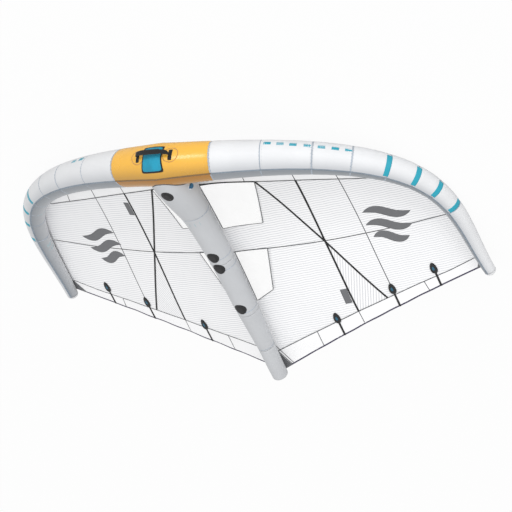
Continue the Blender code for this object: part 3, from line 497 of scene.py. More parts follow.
def sailFinish(name, colour, values, marks=None):
    material, tree, shader = newFinish(name)
    uv, u, v = clothCoordinates(tree)
    cloud = noise(tree, 5.0, 4.0, Roughness=0.6)
    crumple = noise(tree, values["crumpleScale"], 3.0, Distortion=0.8)
    grid = sums(tree, "MAXIMUM", *(lines(tree, run, values["grid"], ripstopWidth) for run in (u, v)))
    weave = times(tree, *(waves(tree, run, values["thread"]) for run in (u, v)))
    weave = sums(tree, "MULTIPLY_ADD", weave, 0.5, 0.5)
    shade = mottled(tree, cloud, colour, values["mottle"])
    shade = mixed(tree, grid, shade, darker(colour, values["gridTint"]))
    if marks:
        shade = marks(tree, u, v, shade)
    tree.links.new(shade, shader.inputs["Base Color"])
    rough = between(tree, cloud, 0.3, 0.7, values["roughness"] - 0.05, values["roughness"] + 0.06)
    tree.links.new(rough, shader.inputs["Roughness"])
    shader.inputs["Sheen Weight"].default_value = values["sheen"]
    shader.inputs["Sheen Roughness"].default_value = 0.45
    shader.inputs["Specular IOR Level"].default_value = values["specular"]
    bumped(tree, shader, ((crumple, values["crumple"]), (sums(tree, "ADD", weave, grid), values["relief"])))
    return material


# The thin grey pattern lines that run across the span, with a slanted hatch below the crossing tapes
canopyPrint = {"spacing": 0.0185, "width": 0.0070, "line": "#D3D5D9", "wave": 0.0012, "waveLength": 0.10,
               "hatchSpacing": 0.019, "hatchSlant": 0.33, "hatchLine": "#C6C8CC", "plainStrip": 0.044,
               "hatchInner": 0.680, "hatchCorner": (0.672, 1.004), "hatchEdgeSlope": 0.4497}


def printedLines(tree, u, v, shade):
    wavy = waves(tree, u, canopyPrint["waveLength"])
    placed = sums(tree, "MULTIPLY_ADD", wavy, canopyPrint["wave"], v)
    across = sums(tree, "ABSOLUTE", u)
    slope = canopyPrint["hatchEdgeSlope"]
    cornerX, cornerY = canopyPrint["hatchCorner"]
    edge = sums(tree, "MULTIPLY_ADD", v, slope, cornerX - cornerY * slope)
    inside = times(tree, sums(tree, "GREATER_THAN", across, canopyPrint["hatchInner"]),
                   sums(tree, "LESS_THAN", across, edge))
    outside = times(tree, sums(tree, "SUBTRACT", 1.0, inside),
                    sums(tree, "GREATER_THAN", across, canopyPrint["plainStrip"]))
    mask = lines(tree, placed, canopyPrint["spacing"], canopyPrint["width"])
    shade = mixed(tree, times(tree, mask, outside), shade, linear(canopyPrint["line"]))
    slanted = sums(tree, "ADD", across, times(tree, placed, canopyPrint["hatchSlant"]))
    hatch = lines(tree, slanted, canopyPrint["hatchSpacing"], canopyPrint["width"])
    return mixed(tree, times(tree, inside, hatch), shade, linear(canopyPrint["hatchLine"]))


# Painted shade: below its lengthwise seam the tube's colour is darkened as if in shade, fading toward the
# canopy, and a softer painted shade starts just above the seam
seamAndPaintedShade = {"strength": 0.95, "fade": 0.70, "shade": 0.55, "shadeReach": 34.0,
            "seamAngles": ((0, 0.146, 0.30, 1), (-92.0, -90.0, -88.5, -98.0))}


def paintedShadeBelowSeam(colour, nearSeamShadeColour):
    def shaded(tree, u, v, shade):
        # Painted shade is mixed in twice: the soft shade just above the seam, then the darker band below it
        for mark, strength, code in (("nearSeamShade", "shade", nearSeamShadeColour), ("belowSeamShade", "strength", colour)):
            share = put(tree, "Attribute", attribute_name=mark).outputs["Fac"]
            shade = mixed(tree, times(tree, share, seamAndPaintedShade[strength]), shade, linear(code))
        return shade
    return shaded


# After each casing colour come its painted shades: the darker band below the seam, then the softer painted
# shade just above it
whiteCasing = sailFinish("white casing cloth", "#E1E2E4", casingCloth, paintedShadeBelowSeam("#7C8289", "#A4A8AE"))
orangeCasing = sailFinish("orange casing cloth", "#F0B640", glossyCloth,
                          paintedShadeBelowSeam("#9C6416", "#86601C"))
patchOrange = sailFinish("orange patch cloth", "#F0B640", glossyCloth)
strutCloth = sailFinish("grey strut cloth", "#C1C3C6", casingCloth)
tealCloth = sailFinish("teal stripe cloth", "#239FB5", dict(casingCloth, crumple=0.0004))
plainCloth = sailFinish("plain canopy cloth", "#FAFAFB", sailCloth)
printedCloth = sailFinish("printed canopy cloth", "#FAFAFB", sailCloth, printedLines)
greyCloth = sailFinish("grey reinforcing cloth", "#6C6D70", dict(sailCloth, mottle=0.10))
markCloth = sailFinish("dark grey wave cloth", "#707174", dict(sailCloth, mottle=0.06))
print("cloth finishes made")


# Sewn tape: twill weave with two rows of stitches near its edges
def tapeFinish(name, colour, stitchRow, thread, roughness):
    material, tree, shader = newFinish(name)
    uv, u, v = clothCoordinates(tree)
    twill = waves(tree, sums(tree, "ADD", u, v), 0.0012)
    cloud = noise(tree, 22.0, 3.0)
    row = sums(tree, "ABSOLUTE", sums(tree, "SUBTRACT", sums(tree, "ABSOLUTE", v), stitchRow))
    dash = between(tree, sums(tree, "PINGPONG", u, 0.0022), 0.0006, 0.0009)
    stitch = times(tree, between(tree, row, 0.0007, 0.0004), dash)
    shade = mixed(tree, stitch, mottled(tree, cloud, colour, 0.18), linear(thread))
    tree.links.new(shade, shader.inputs["Base Color"])
    tree.links.new(between(tree, cloud, 0.3, 0.7, roughness, roughness + 0.12), shader.inputs["Roughness"])
    shader.inputs["Sheen Weight"].default_value = 0.15
    shader.inputs["Specular IOR Level"].default_value = 0.3
    bumped(tree, shader, ((twill, 0.00012), (stitch, 0.0003)))
    return material


# For each tape: its colour, the place of its stitch rows, their thread and the roughness
blackTape = tapeFinish("black seam tape", "#121314", 0.0034, "#2A2B2D", 0.55)
thinTape = tapeFinish("thin dark seam tape", "#515357", 0.0016, "#6C6E72", 0.6)
seatWhite = tapeFinish("white seat tape", "#F4F5F6", 0.0026, "#DADCE0", 0.5)
ringTape = tapeFinish("blue grey ring tape", "#A3AEBB", 0.0020, "#DDE1E6", 0.5)
bottomTape = tapeFinish("blue grey bottom tape", "#7F8C99", 0.0040, "#C9CFD6", 0.5)
brownTape = tapeFinish("brown centre seam tape", "#7F6038", 0.0040, "#B08F5E", 0.5)
hemTape = tapeFinish("purple trailing hem", "#3B3650", 0.0040, "#6A6580", 0.6)
orangeTape = tapeFinish("brown orange stitching", "#C4853F", 0.0010, "#E8C27A", 0.5)
webbing = tapeFinish("black webbing", "#141416", 0.0105, "#3A3A3E", 0.62)


# Moulded rubber or plastic: fine grain, scuffed lighter on its edges
def mouldedFinish(name, colour, grainScale, scuff, roughness, relief):
    material, tree, shader = newFinish(name)
    grain = noise(tree, grainScale, 4.0)
    wear = noise(tree, 60.0, 3.0)
    edge = put(tree, "NewGeometry").outputs["Pointiness"]
    rub = times(tree, between(tree, edge, 0.53, 0.62), between(tree, wear, 0.4, 0.65))
    pale = tuple(min(1.0, c + scuff) for c in linear(colour)[:3]) + (1,)
    tree.links.new(mixed(tree, rub, linear(colour), pale), shader.inputs["Base Color"])
    tree.links.new(between(tree, wear, 0.3, 0.7, roughness, roughness + 0.12), shader.inputs["Roughness"])
    bumped(tree, shader, ((grain, relief),))
    return material


# For each: its colour, the scale of its grain, the paleness of its scuffs, the roughness and the relief
padRubber = mouldedFinish("black pad rubber", "#111113", 900.0, 0.05, 0.38, 0.0002)
capRubber = mouldedFinish("black batten cap", "#111214", 900.0, 0.05, 0.5, 0.0002)
capInlay = mouldedFinish("blue cap inlay", "#1C5A73", 900.0, 0.08, 0.4, 0.0001)
valvePlastic = mouldedFinish("pale valve plastic", "#DADDE0", 1200.0, 0.03, 0.35, 0.0001)
capPlastic = mouldedFinish("dark blue valve cap", "#1B5E86", 1200.0, 0.05, 0.3, 0.0001)
battenFibre = mouldedFinish("black batten pocket", "#17181A", 700.0, 0.03, 0.5, 0.0002)


# Padded knit face of the knuckle guard
def knitFinish(name, colour):
    material, tree, shader = newFinish(name)
    uv, u, v = clothCoordinates(tree)
    cells = put(tree, "TexVoronoi", {"Vector": uv, "Scale": 420.0}, voronoi_dimensions="2D").outputs[0]
    cloud = noise(tree, 14.0, 3.0)
    gaps = between(tree, cells, 0.5, 0.75, 0.0, 0.35)
    shade = mixed(tree, gaps, mottled(tree, cloud, colour, 0.20), darker(colour, 0.20))
    tree.links.new(shade, shader.inputs["Base Color"])
    shader.inputs["Roughness"].default_value = 0.62
    shader.inputs["Sheen Weight"].default_value = 0.08
    bumped(tree, shader, ((cloud, 0.002), (cells, 0.0004)))
    return material


guardKnit = knitFinish("cyan padded knit", "#0094B4")


# Clear film: see-through, with a soft gloss and a faint haze
def filmFinish(name, colour, alpha, roughness):
    material, tree, shader = newFinish(name)
    haze = noise(tree, 3.0, 5.0)
    shader.inputs["Base Color"].default_value = linear(colour)
    tree.links.new(between(tree, haze, 0.3, 0.7, roughness, roughness + 0.1), shader.inputs["Roughness"])
    tree.links.new(between(tree, haze, 0.3, 0.7, alpha, alpha + 0.06), shader.inputs["Alpha"])
    bumped(tree, shader, ((noise(tree, 6.0, 2.0, Distortion=1.0), 0.004),))
    return material


clearFilm = filmFinish("clear window film", "#FFFFFF", 0.05, 0.10)
bladderFilm = filmFinish("bladder film", "#B9CDD3", 0.75, 0.25)
print("all finishes made")


# Where the lengthwise seam lies around the tube, in degrees
def bottomAngle(arc):
    return np.interp(shareOf(arc), *seamAndPaintedShade["seamAngles"])


# Marks where shade is painted on a sleeve: the part between the lengthwise seam and the canopy, fading
# toward the canopy, and the cloth just above the seam
def markPaintedSeamShade(piece, arcs):
    turns = np.linspace(0, 360, tube["sides"] + 1)[:-1] - 90
    behind = np.where(turns > 90, turns - 360, turns)
    below = (bottomAngle(np.abs(arcs))[:, None] - behind) / 90.0
    inside = np.clip(below * 18 + 0.5, 0, 1) * (1 - seamAndPaintedShade["fade"] * np.clip(below, 0, 1)) * (below < 1.1)
    near = np.exp(-(np.clip(-below, 0, 2) * 90 / seamAndPaintedShade["shadeReach"]) ** 2) * (below < 0)
    for name, values in (("belowSeamShade", inside), ("nearSeamShade", near)):
        mark = piece.data.attributes.new(name, "FLOAT", "POINT")
        mark.data.foreach_set("value", values.astype(np.float32).ravel())


def buildSleeve(name, low, high, finish, side, node):
    arcs = spaced(low, high, tube["spacing"])
    piece = addSkins(name, [sleeve(arcs)], finish, tube["clothThickness"], side)
    # Marks where this sleeve gets its painted seam shade
    markPaintedSeamShade(piece, arcs)
    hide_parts(node)


def buildLeadingEdge():
    end = arcOf(tube["panelEnds"]["inner"][0])
    buildSleeve("tubeCentre", -end, end, orangeCasing, 1, "leading_edge_centre")
    for side, label in halves:
        for part, (low, high) in tube["panelEnds"].items():
            name, node = "tube%s_%s" % (part.capitalize(), label), "leading_edge_%s_%s" % (part, label)
            buildSleeve(name, arcOf(low), arcOf(high), whiteCasing, side, node)
        buildTipCap(side, label)


# The gathered end of the tube
tipCap = {"length": 0.027, "gap": 0.0009, "rows": 14, "closed": 0.985, "bluntness": 0.8, "gathers": 16,
          "gatherDepth": 0.02, "mapRadius": 0.04}


def domeRows(first, count):
    return np.linspace(first, math.pi / 2 * tipCap["closed"], count)


def buildTipCap(side, label):
    along, outward, rise = leadingFrame(1.0)
    turns = circle(tube["sides"]) - math.pi / 2
    rows = domeRows(0, tipCap["rows"])
    radius = leadingRadius(1.0) * np.cos(rows) ** tipCap["bluntness"]
    run = tipCap["gap"] + tipCap["length"] * np.sin(rows)
    normal = outward * np.cos(turns[:-1, None]) + rise * np.sin(turns[:-1, None])
    gather = 1 + tipCap["gatherDepth"] * np.sin(rows)[:, None] * np.cos(tipCap["gathers"] * turns[:-1])
    spread = (radius[:, None] * gather)[..., None]
    grid = leadingPoint(1.0) + normal[None] * spread + along * run[:, None, None]
    uv = joined(run[:, None], turns * tipCap["mapRadius"])
    cap = addSkins("tipCap_" + label, [(grid, uv)], whiteCasing, tube["clothThickness"], side, caps=(-1,))
    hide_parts("tip_cap_" + label)


# Everything sewn or printed on the tube: ring tapes, lengthwise seam, stripes, dashes and seat tapes.
# dashes holds where each dash lies along the tube, and its angle; the left half has the first two only.
tubeTrim = {"ringWidth": 0.018, "bottomWidth": 0.013, "lift": 0.0003, "thickness": 0.0004, "spacing": 0.012,
            "stripes": (0.517, 0.598, 0.672, 0.752), "stripeWidth": 0.034, "stripeAngles": (20.0, -82.0),
            "dashes": ((0.262, 7), (0.287, 5), (0.312, 3), (0.340, 1), (0.368, -1), (0.396, -2),
                       (0.424, -2)),
            "leftDashes": 2, "dashLength": 0.046, "dashHeight": 0.028,
            "seatEnd": 0.99, "seatWidth": 0.014, "seatGap": 0.0006}
threeAcross = np.linspace(-0.5, 0.5, 3)


def buildTubeTrim():
    lift, thick, spacing = tubeTrim["lift"], tubeTrim["thickness"], tubeTrim["spacing"]
    ringAcross = threeAcross * tubeTrim["ringWidth"]
    for side, label in halves:
        rings = []
        for share in tube["rings"]:
            grid, uv = sleeve(arcOf(share) + ringAcross, lift)
            rings.append((grid, joined(uv[..., 1], ringAcross[:, None])))
        addSkins("tubeRings_" + label, rings, ringTape, thick, side)

        arcs = spaced(0, arcOf(1.0), spacing)
        across = threeAcross * tubeTrim["bottomWidth"]
        angles = np.radians(bottomAngle(arcs))[:, None] + across / leadingRadius(shareOf(arcs))[:, None]
        grid, uv = tubeAt(arcs[:, None], angles, lift + 0.0002), joined(arcs[:, None], across)
        end = int(np.searchsorted(arcs, arcOf(tube["panelEnds"]["inner"][0])))
        addSkins("tubeCentreSeam_" + label, [(grid[:end + 1], uv[:end + 1])], brownTape, thick, side)
        addSkins("tubeBottomSeam_" + label, [(grid[end:], uv[end:])], bottomTape, thick, side)

        across = np.linspace(-0.5, 0.5, 5)[:, None]
        angles = np.radians(spaced(*tubeTrim["stripeAngles"], 3.0))
        stripes = [tubePatch(arcOf(share) + across * tubeTrim["stripeWidth"], angles, lift + 0.0003)
                   for share in tubeTrim["stripes"]]
        addSkins("tubeStripes_" + label, stripes, tealCloth, thick, side)

        dashes = []
        for share, angle in tubeTrim["dashes"][:None if side > 0 else tubeTrim["leftDashes"]]:
            reach = tubeTrim["dashHeight"] / 2 / leadingRadius(share)
            angles = math.radians(angle) + np.linspace(-reach, reach, 4)
            dashes.append(tubePatch(arcOf(share) + across * tubeTrim["dashLength"], angles, lift))
        addSkins("tubeDashes_" + label, dashes, tealCloth, thick, side)

        shares = shareOf(spaced(0, arcOf(tubeTrim["seatEnd"]), spacing))
        across = np.linspace(tubeTrim["seatGap"], tubeTrim["seatWidth"], 3) / leadingRadius(shares)[:, None]
        seat = []
        for sign in (-1, 1):
            grid = tubeAt(arcOf(shares)[:, None], seatAngle(shares)[:, None] + sign * across, lift)
            seat.append((grid, joined(arcOf(shares)[:, None], np.linspace(0, tubeTrim["seatWidth"], 3))))
        addSkins("seatTape_" + label, seat, seatWhite, thick, side)


buildLeadingEdge()
buildTubeTrim()
print("leading edge done")

# Strut
strutTrim = {"ringWidth": 0.014, "rootWidth": 0.007, "lift": 0.0003, "thickness": 0.0004, "mapRadius": 0.09,
             "saddlePlace": 0.12, "saddleMapRadius": 0.13}


# Where each line along the strut meets the back of the leading edge tube
def saddleLine(angles):
    y = strutTrim["saddlePlace"]
    x = strutRadius(y) * np.sin(angles)
    z = strutCentre(y) - strutRadius(y) * np.cos(angles)
    arc = np.interp(np.abs(x), leadingPoint(fineShares[:100])[:, 0], fineArcs[:100])
    centre = leadingPoint(shareOf(arc))
    radius = leadingRadius(shareOf(arc)) + 0.0004
    return centre[:, 1] + np.sqrt(np.clip(radius ** 2 - (z - centre[:, 2]) ** 2, 0.0002, None))


def strutDome(turns):
    bow = domeRows(0.08, 12)[:, None]
    shrink = np.cos(bow) ** tipCap["bluntness"]
    middle, rim = strutCentre(strut["end"]), strutAt(strut["end"], turns)
    return joined(rim[:, 0] * shrink, strut["end"] + strut["domeLength"] * np.sin(bow),
                  middle + (rim[:, 2] - middle) * shrink)


def buildStrut():
    turns = circle(strut["sides"])
    ends = (strut["start"],) + strut["panelEnds"] + (strut["end"],)
    for number, (low, high) in enumerate(zip(ends, ends[1:]), 1):
        y, caps = spaced(low, high, strut["spacing"])[:, None], ()
        if number == 1:
            part = (y - low) / (high - low)
            y = saddleLine(turns[:-1]) * (1 - part) + high * part
        grid = strutAt(y, turns[:-1])
        if number == len(ends) - 1:
            grid, caps = np.concatenate((grid, strutDome(turns[:-1]))), (-1,)
        uv = joined((runOf(grid[:, 0]) + low)[:, None], turns * strutTrim["mapRadius"])
        piece = addSkins("strutPanel_%d" % number, [(grid, uv)], strutCloth, strut["clothThickness"],
                         caps=caps)
        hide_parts("strut_casing_%d" % number)
    lift, thick = strutTrim["lift"], strutTrim["thickness"]
    across = (threeAcross * strutTrim["ringWidth"])[:, None]
    rings = [(strutAt(ring + across, turns[:-1], lift), joined(turns * strutTrim["mapRadius"], across))
             for ring in strut["rings"]]
    addSkins("strutRings", rings, ringTape, thick)
    across = np.linspace(0.0008, strutTrim["rootWidth"], 3)[:, None]
    grid = strutAt(saddleLine(turns[:-1]) + across, turns[:-1], lift)
    uv = joined(turns * strutTrim["saddleMapRadius"], across - strutTrim["rootWidth"] / 2)
    addSkins("strutRootSeam", [(grid, uv)], blackTape, thick)


buildStrut()
print("strut done")

# Handle pads: a thin rim, a groove and a raised flat boss, given as shares of the radius with their heights
pads = {"places": (0.1689, 0.8246, 0.9279, 1.3015), "diameter": 0.086, "sides": 64, "bossReach": 0.04,
        "profile": ((1.00, 0.0002), (1.00, 0.0016), (0.985, 0.0026), (0.94, 0.0034), (0.87, 0.0040),
                    (0.80, 0.0042), (0.745, 0.0041), (0.72, 0.0030), (0.69, 0.0030), (0.665, 0.0044),
                    (0.62, 0.0056), (0.56, 0.0062), (0.50, 0.0063), (0.30, 0.0063), (0.10, 0.0062))}


def strutUnderside(y):
    return strutCentre(y) - strutRadius(y)


def buildPads():
    turns = circle(pads["sides"])
    radius, reach = pads["diameter"] / 2, pads["bossReach"]
    for number, middle in enumerate(pads["places"], 1):
        slope = (strutUnderside(middle + reach) - strutUnderside(middle - reach)) / (2 * reach)
        rows = []
        for scale, height in pads["profile"]:
            x, y = radius * scale * np.cos(turns[:-1]), middle + radius * scale * np.sin(turns[:-1])
            under = strutCentre(y) - np.sqrt(strutRadius(y) ** 2 - x ** 2)
            plate = strutUnderside(middle) + slope * (y - middle)
            flat = np.clip((0.70 - scale) / 0.2, 0, 1)
            rows.append(joined(x, y, under * (1 - flat) + plate * flat - height))
        uv = joined(np.array(pads["profile"])[:, :1] * radius, turns * 0.04)
        piece = addSkins("handlePad_%d" % number, [(np.array(rows), uv)], padRubber, caps=(0, -1),
                         solid=True, sharp=50)
        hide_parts("handle_pad_%d" % number)


buildPads()
print("handle pads done")

# Canopy: the node of each panel, its cells (line, first column, last column) and what it rests on
panelPlan = {
    "frontStrip": {"node": "canopy_front_strip", "cells": ((0, 0, 12),), "finish": plainCloth,
                   "rests": ("tubeInner", "tubeMiddle", "strutPanel_1")},
    "frontPanel": {"node": "canopy_front_panel", "cells": ((1, 0, 1), (1, 4, 12), (2, 0, 12)),
                   "finish": printedCloth, "rests": ("tubeOuter", "strutPanel_2")},
    "rearPanel": {"node": "canopy_rear_panel", "cells": ((3, 0, 1), (3, 4, 12), (4, 0, 12)),
                  "finish": printedCloth, "rests": ("tubeTip", "strutPanel_3", "strutPanel_4")},
    "trailingBand": {"node": "trailing_edge_band", "cells": ((5, 0, 12),), "finish": plainCloth,
                     "rests": ("tubeTip", "strutPanel_5")},
    "frontWindow": {"node": "window_front", "cells": ((1, 1, 4),), "finish": clearFilm,
                    "rests": ("frontPanel", "frontStrip")},
    "rearWindow": {"node": "window_rear", "cells": ((3, 1, 4),), "finish": clearFilm,
                   "rests": ("rearPanel", "frontPanel")},
}
sheets = {"lift": 0.0004, "middleGap": 0.0008, "weld": 0.00005, "cutAllowance": 1.03}
# Tapes on the underside: named lines or lines of (x, y) points, each with its width
seamTapes = {
    "blackTapes": {"finish": blackTape, "lift": 0.0008, "lines": (
        (((0.667, 0.468), (0.672, 1.004), (0.689, 1.613)), 0.0135),
        (((0.400, 0.415), (0.672, 1.004), (0.918, 1.551)), 0.0135),
        (((0.002, 0.322), (0.080, 0.348), (0.400, 0.415)), 0.0105))},
    "thinTapes": {"finish": thinTape, "lift": 0.0005, "lines": (
        ("front", 0.0068), ("middle", 0.0062), ("band", 0.0058),
        (((0.948, 0.514), (0.961, 0.996), (0.975, 1.498)), 0.0056),
        (((0.667, 0.300), (0.667, 0.468)), 0.0056), (((0.935, 0.330), (0.948, 0.514)), 0.0052),
        (((1.183, 0.470), (1.207, 0.577)), 0.0052), (((0.347, 0.240), (0.335, 0.399)), 0.0052),
        (((0.689, 1.613), (0.692, 1.718)), 0.0052), (((1.197, 1.480), (1.208, 1.567)), 0.0050),
        (((0.354, 1.712), (0.354, 1.846)), 0.0050), (((0.010, 1.726), (0.098, 1.944)), 0.0050),
        (((0.018, 1.800), (0.084, 1.950)), 0.0050))},
    "windowTapes": {"finish": thinTape, "lift": 0.0007, "lines": (
        (((0.042, 0.345), (0.398, 0.415), (0.316, 0.766), (0.042, 0.739), (0.042, 0.345)), 0.0048),
        (((0.042, 0.948), (0.267, 0.969), (0.182, 1.308), (0.042, 1.372), (0.042, 0.948)), 0.0048))},
}
clothTrim = {"thickness": 0.0003, "markLift": 0.0006, "patchThickness": 0.0004, "patchLift": 0.0009}
cornerPatches = {"tail": ((0.020, 1.815), (0.080, 1.952), (0.006, 1.983)),
                 "tipShares": (0.958, 0.990), "tipReach": {1: 0.060, -1: 0.100}}
waveMark = {"centres": {1: (1.135, 0.965), -1: (1.100, 0.985)}, "lengths": (0.32, 0.31, 0.24),
            "offsets": (-0.105, 0.0, 0.100), "width": 0.064, "swing": 0.022, "turn": 10.0}
plainPatches = {1: ((0.628, 0.676), (1.408, 1.530)), -1: ((0.678, 0.722), (0.556, 0.670))}
hem = {"width": 0.012, "thickness": 0.0016, "start": 0.0015, "endGap": 0.004, "points": 160,
       "profile": ((-0.012, 0.5), (-0.006, 0.85), (-0.001, 1.0), (0.0006, 0.4), (0.0006, -0.4),
                   (-0.001, -1.0), (-0.006, -0.85), (-0.012, -0.5))}


def meshArea(grid):
    a, b = grid[1:, 1:] - grid[:-1, :-1], grid[1:, :-1] - grid[:-1, 1:]
    return float(np.linalg.norm(np.cross(a, b), axis=-1).sum() / 2)


# The smallest box that holds a flat sheet, whichever way it is turned, with a little more to cut from
def flatBox(points):
    boxes = []
    for turn in np.radians(np.arange(-60, 61, 3)):
        a = points[:, 0] * math.cos(turn) + points[:, 1] * math.sin(turn)
        b = points[:, 1] * math.cos(turn) - points[:, 0] * math.sin(turn)
        boxes.append((np.ptp(a) * sheets["cutAllowance"], np.ptp(b) * sheets["cutAllowance"]))
    return min(boxes, key=lambda box: box[0] * box[1])


def namedLine(line):
    if line == "middle":
        x = 0.003 + np.linspace(0.0, 1.0, 60) * (seatPoint(canopy["railEnds"][2])[0] - 0.008)
        return joined(x, middleSeamAt(x))
    column = np.linspace(3.5 if line == "front" else 0.1, 11.93, 90)
    return joined(*railPlace(0 if line == "front" else 4, column))


def buildCanopy():
    for side, label in halves:
        trims = buildClothTrim(side, label)
        made, flat = {}, {}
        for name, plan in panelPlan.items():
            skins = [canopyPatch(*cell) for cell in plan["cells"]]
            for grid, uv in skins:
                grid[..., 2] += sheets["lift"]
                grid[..., 0] = np.maximum(grid[..., 0], sheets["middleGap"])
            film = name.endswith("Window")
            piece = addSkins("%s_%s" % (name, label), skins, plan["finish"],
                             canopy["filmThickness" if film else "clothThickness"], side)
            mended(piece.data, sheets["weld"], outwards=False)
            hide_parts("%s_%s" % (plan["node"], label))
            area = sum(meshArea(grid) for grid, uv in skins)
            wide, long = flatBox(np.concatenate([grid.reshape(-1, 3) for grid, uv in skins]))
            made[name], flat[name] = piece, (round(wide, 3), round(long, 3), round(area, 3))
            print(name, label, "flat", round(wide, 3), round(long, 3), "area", round(area, 3))


# A three-cornered patch on the cloth
def cornerSkin(corners):
    a, b, c = (np.array(corner) for corner in corners)
    u, v = np.meshgrid(np.linspace(0.02, 1, 14), np.linspace(0, 1, 14), indexing="ij")
    spot = a + u[..., None] * ((b - a) + v[..., None] * (c - b))
    return clothAt(spot[..., 0], spot[..., 1], clothTrim["patchLift"]), spot


def waveSkin(side, length, offset):
    run, turn = np.linspace(-0.5, 0.5, 40), math.radians(waveMark["turn"])
    a, b = run * length, offset + waveMark["swing"] * np.sin(run * 2 * math.pi)
    x, y = waveMark["centres"][side]
    path = joined(x + a * math.cos(turn) - b * math.sin(turn), y + a * math.sin(turn) + b * math.cos(turn))
    widths = waveMark["width"] * np.clip(1 - np.abs(np.linspace(-1, 1, 21)) ** 3, 0.03, 1)
    return clothStrip(path, widths, clothTrim["markLift"], spacing=0.010, columns=7)


# The folded hem along the trailing edge, on both sides of the cloth
def hemSkin():
    x = np.linspace(hem["start"], tipSeat[0] - hem["endGap"], hem["points"])
    edge, rows = trailingAt(x)[0], []
    for inset, level in hem["profile"]:
        spot = clothAt(x, np.minimum(edge + inset, edge - 0.0002), -0.0004)
        spot[:, 1] = edge + inset
        spot[:, 2] += level * hem["thickness"] / 2
        rows.append(spot)
    return np.stack(rows, 1), joined(x[:, None], np.linspace(-hem["width"], hem["width"], len(rows) + 1))


# Everything sewn or printed on the underside of one half of the cloth
def buildClothTrim(side, label):
    thick, trims = clothTrim["thickness"], []

    def add(name, skins, finish, thick, **more):
        trims.append(addSkins("%s_%s" % (name, label), skins, finish, thick, side, **more))

    for name, tape in seamTapes.items():
        skins = [clothStrip(namedLine(line) if isinstance(line, str) else line, width, tape["lift"])
                 for line, width in tape["lines"]]
        add(name, skins, tape["finish"], thick)
    first, last = (seatPoint(share)[:2] for share in cornerPatches["tipShares"])
    tip = last[0] - cornerPatches["tipReach"][side]
    tipCorners = (first - (0.003, 0), (tip, trailingAt(tip)[0] - 0.003), last - (0.006, 0))
    skins = [cornerSkin(cornerPatches["tail"]), cornerSkin(tipCorners)]
    add("cornerPatches", skins, greyCloth, clothTrim["patchThickness"])
    skins = [waveSkin(side, *wave) for wave in zip(waveMark["lengths"], waveMark["offsets"])]
    add("waveMark", skins, markCloth, thick)
    across, along = (np.linspace(*ends, count) for ends, count in zip(plainPatches[side], (6, 12)))
    x, y = np.meshgrid(across, along, indexing="ij")
    add("plainPatch", [(clothAt(x, y, clothTrim["markLift"]), joined(x, y))], markCloth, thick)
    add("trailingHem", [hemSkin()], hemTape, 0, caps=(0, -1), solid=True, sharp=60)
    return trims


buildCanopy()
print("canopy done")

# Battens and their caps; each profile holds shares of the outline, with their heights
battens = {"places": (0.527, 0.974, 1.295), "length": 0.112, "width": 0.0145, "depth": 0.0032,
           "capLength": 0.092, "capWidth": 0.057, "pointShare": 0.36, "sides": 56, "gap": 0.0003,
           "lift": 0.0002,
           "section": ((-1.0, 0.0), (-1.0, 0.35), (-0.82, 0.75), (-0.45, 0.96), (0, 1.0), (0.45, 0.96),
                       (0.82, 0.75), (1.0, 0.35), (1.0, 0.0)),
           "capProfile": ((0.97, -0.0002), (1.0, 0.0022), (0.985, 0.0046), (0.93, 0.0068), (0.84, 0.0081),
                          (0.72, 0.0087), (0.42, 0.0088), (0.39, 0.0080), (0.37, 0.0079)),
           "inlayProfile": ((0.36, 0.0070), (0.355, 0.0084), (0.32, 0.0092), (0.25, 0.0098), (0.13, 0.0101),
                            (0.03, 0.0101))}
moulded = {"caps": (0, -1), "solid": True, "sharp": 60}


def teardrop(x, back, profile):
    turns = circle(battens["sides"])
    middle, rows = back - battens["capLength"] / 2, []
    narrowing = 1 - (1 - np.cos(turns[:-1])) / 2 * battens["pointShare"]
    for scale, depth in profile:
        along = battens["capLength"] / 2 * np.cos(turns[:-1]) * scale
        across = battens["capWidth"] / 2 * np.sin(turns[:-1]) * narrowing * scale
        rows.append(clothAt(x + across, middle + along, battens["lift"] + depth))
    return np.array(rows), joined(np.arange(len(profile))[:, None] * 0.004, turns * 0.03)


def buildBattens():
    half, depth, section = battens["width"] / 2, battens["depth"], battens["section"]
    for number, x in enumerate(battens["places"], 1):
        end = trailingAt(x)[0] - battens["gap"]
        back = end - battens["length"] - battens["gap"]
        rows = spaced(end, end - battens["length"], 0.008)
        grid = np.stack([clothAt(x + half * a, rows, battens["lift"] + depth * b) for a, b in section], 1)
        uv = joined(rows[:, None], np.linspace(-0.006, 0.006, len(section) + 1))
        for side, label in halves:
            tag = "_%s_%d" % (label, number)
            pocket = addSkins("battenPocket" + tag, [(grid, uv)], battenFibre, 0, side, **moulded)
            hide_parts("batten" + tag)
            skin = teardrop(x, back, battens["capProfile"])
            cap = addSkins("battenCap" + tag, [skin], capRubber, 0, side, **moulded)
            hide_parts("batten_cap" + tag)
            skin = teardrop(x, back, battens["inlayProfile"])
            addSkins("capInlay" + tag, [skin], capInlay, 0, side, **moulded)


buildBattens()
print("battens done")

# Knuckle guard
guard = {"halfWidths": (0.080, 0.074, 0.072, 0.077, 0.084), "topAngle": 5.0, "bottomAngle": -70.0,
         "shift": -0.006, "base": 0.0006, "edge": 0.0014, "fill": 0.0052, "rounding": 0.105, "points": 33,
         "quiltDepth": 0.30, "quiltPlace": 0.42, "quiltWidth": 0.05, "mapRadius": 0.143,
         "bindingReach": 0.86, "bindingThickness": 0.0008,
         "bindingProfile": ((0.0, 0.0003), (-0.10, 0.0016), (0.0, 0.0030), (0.5, 0.0040), (1.0, 0.0030))}


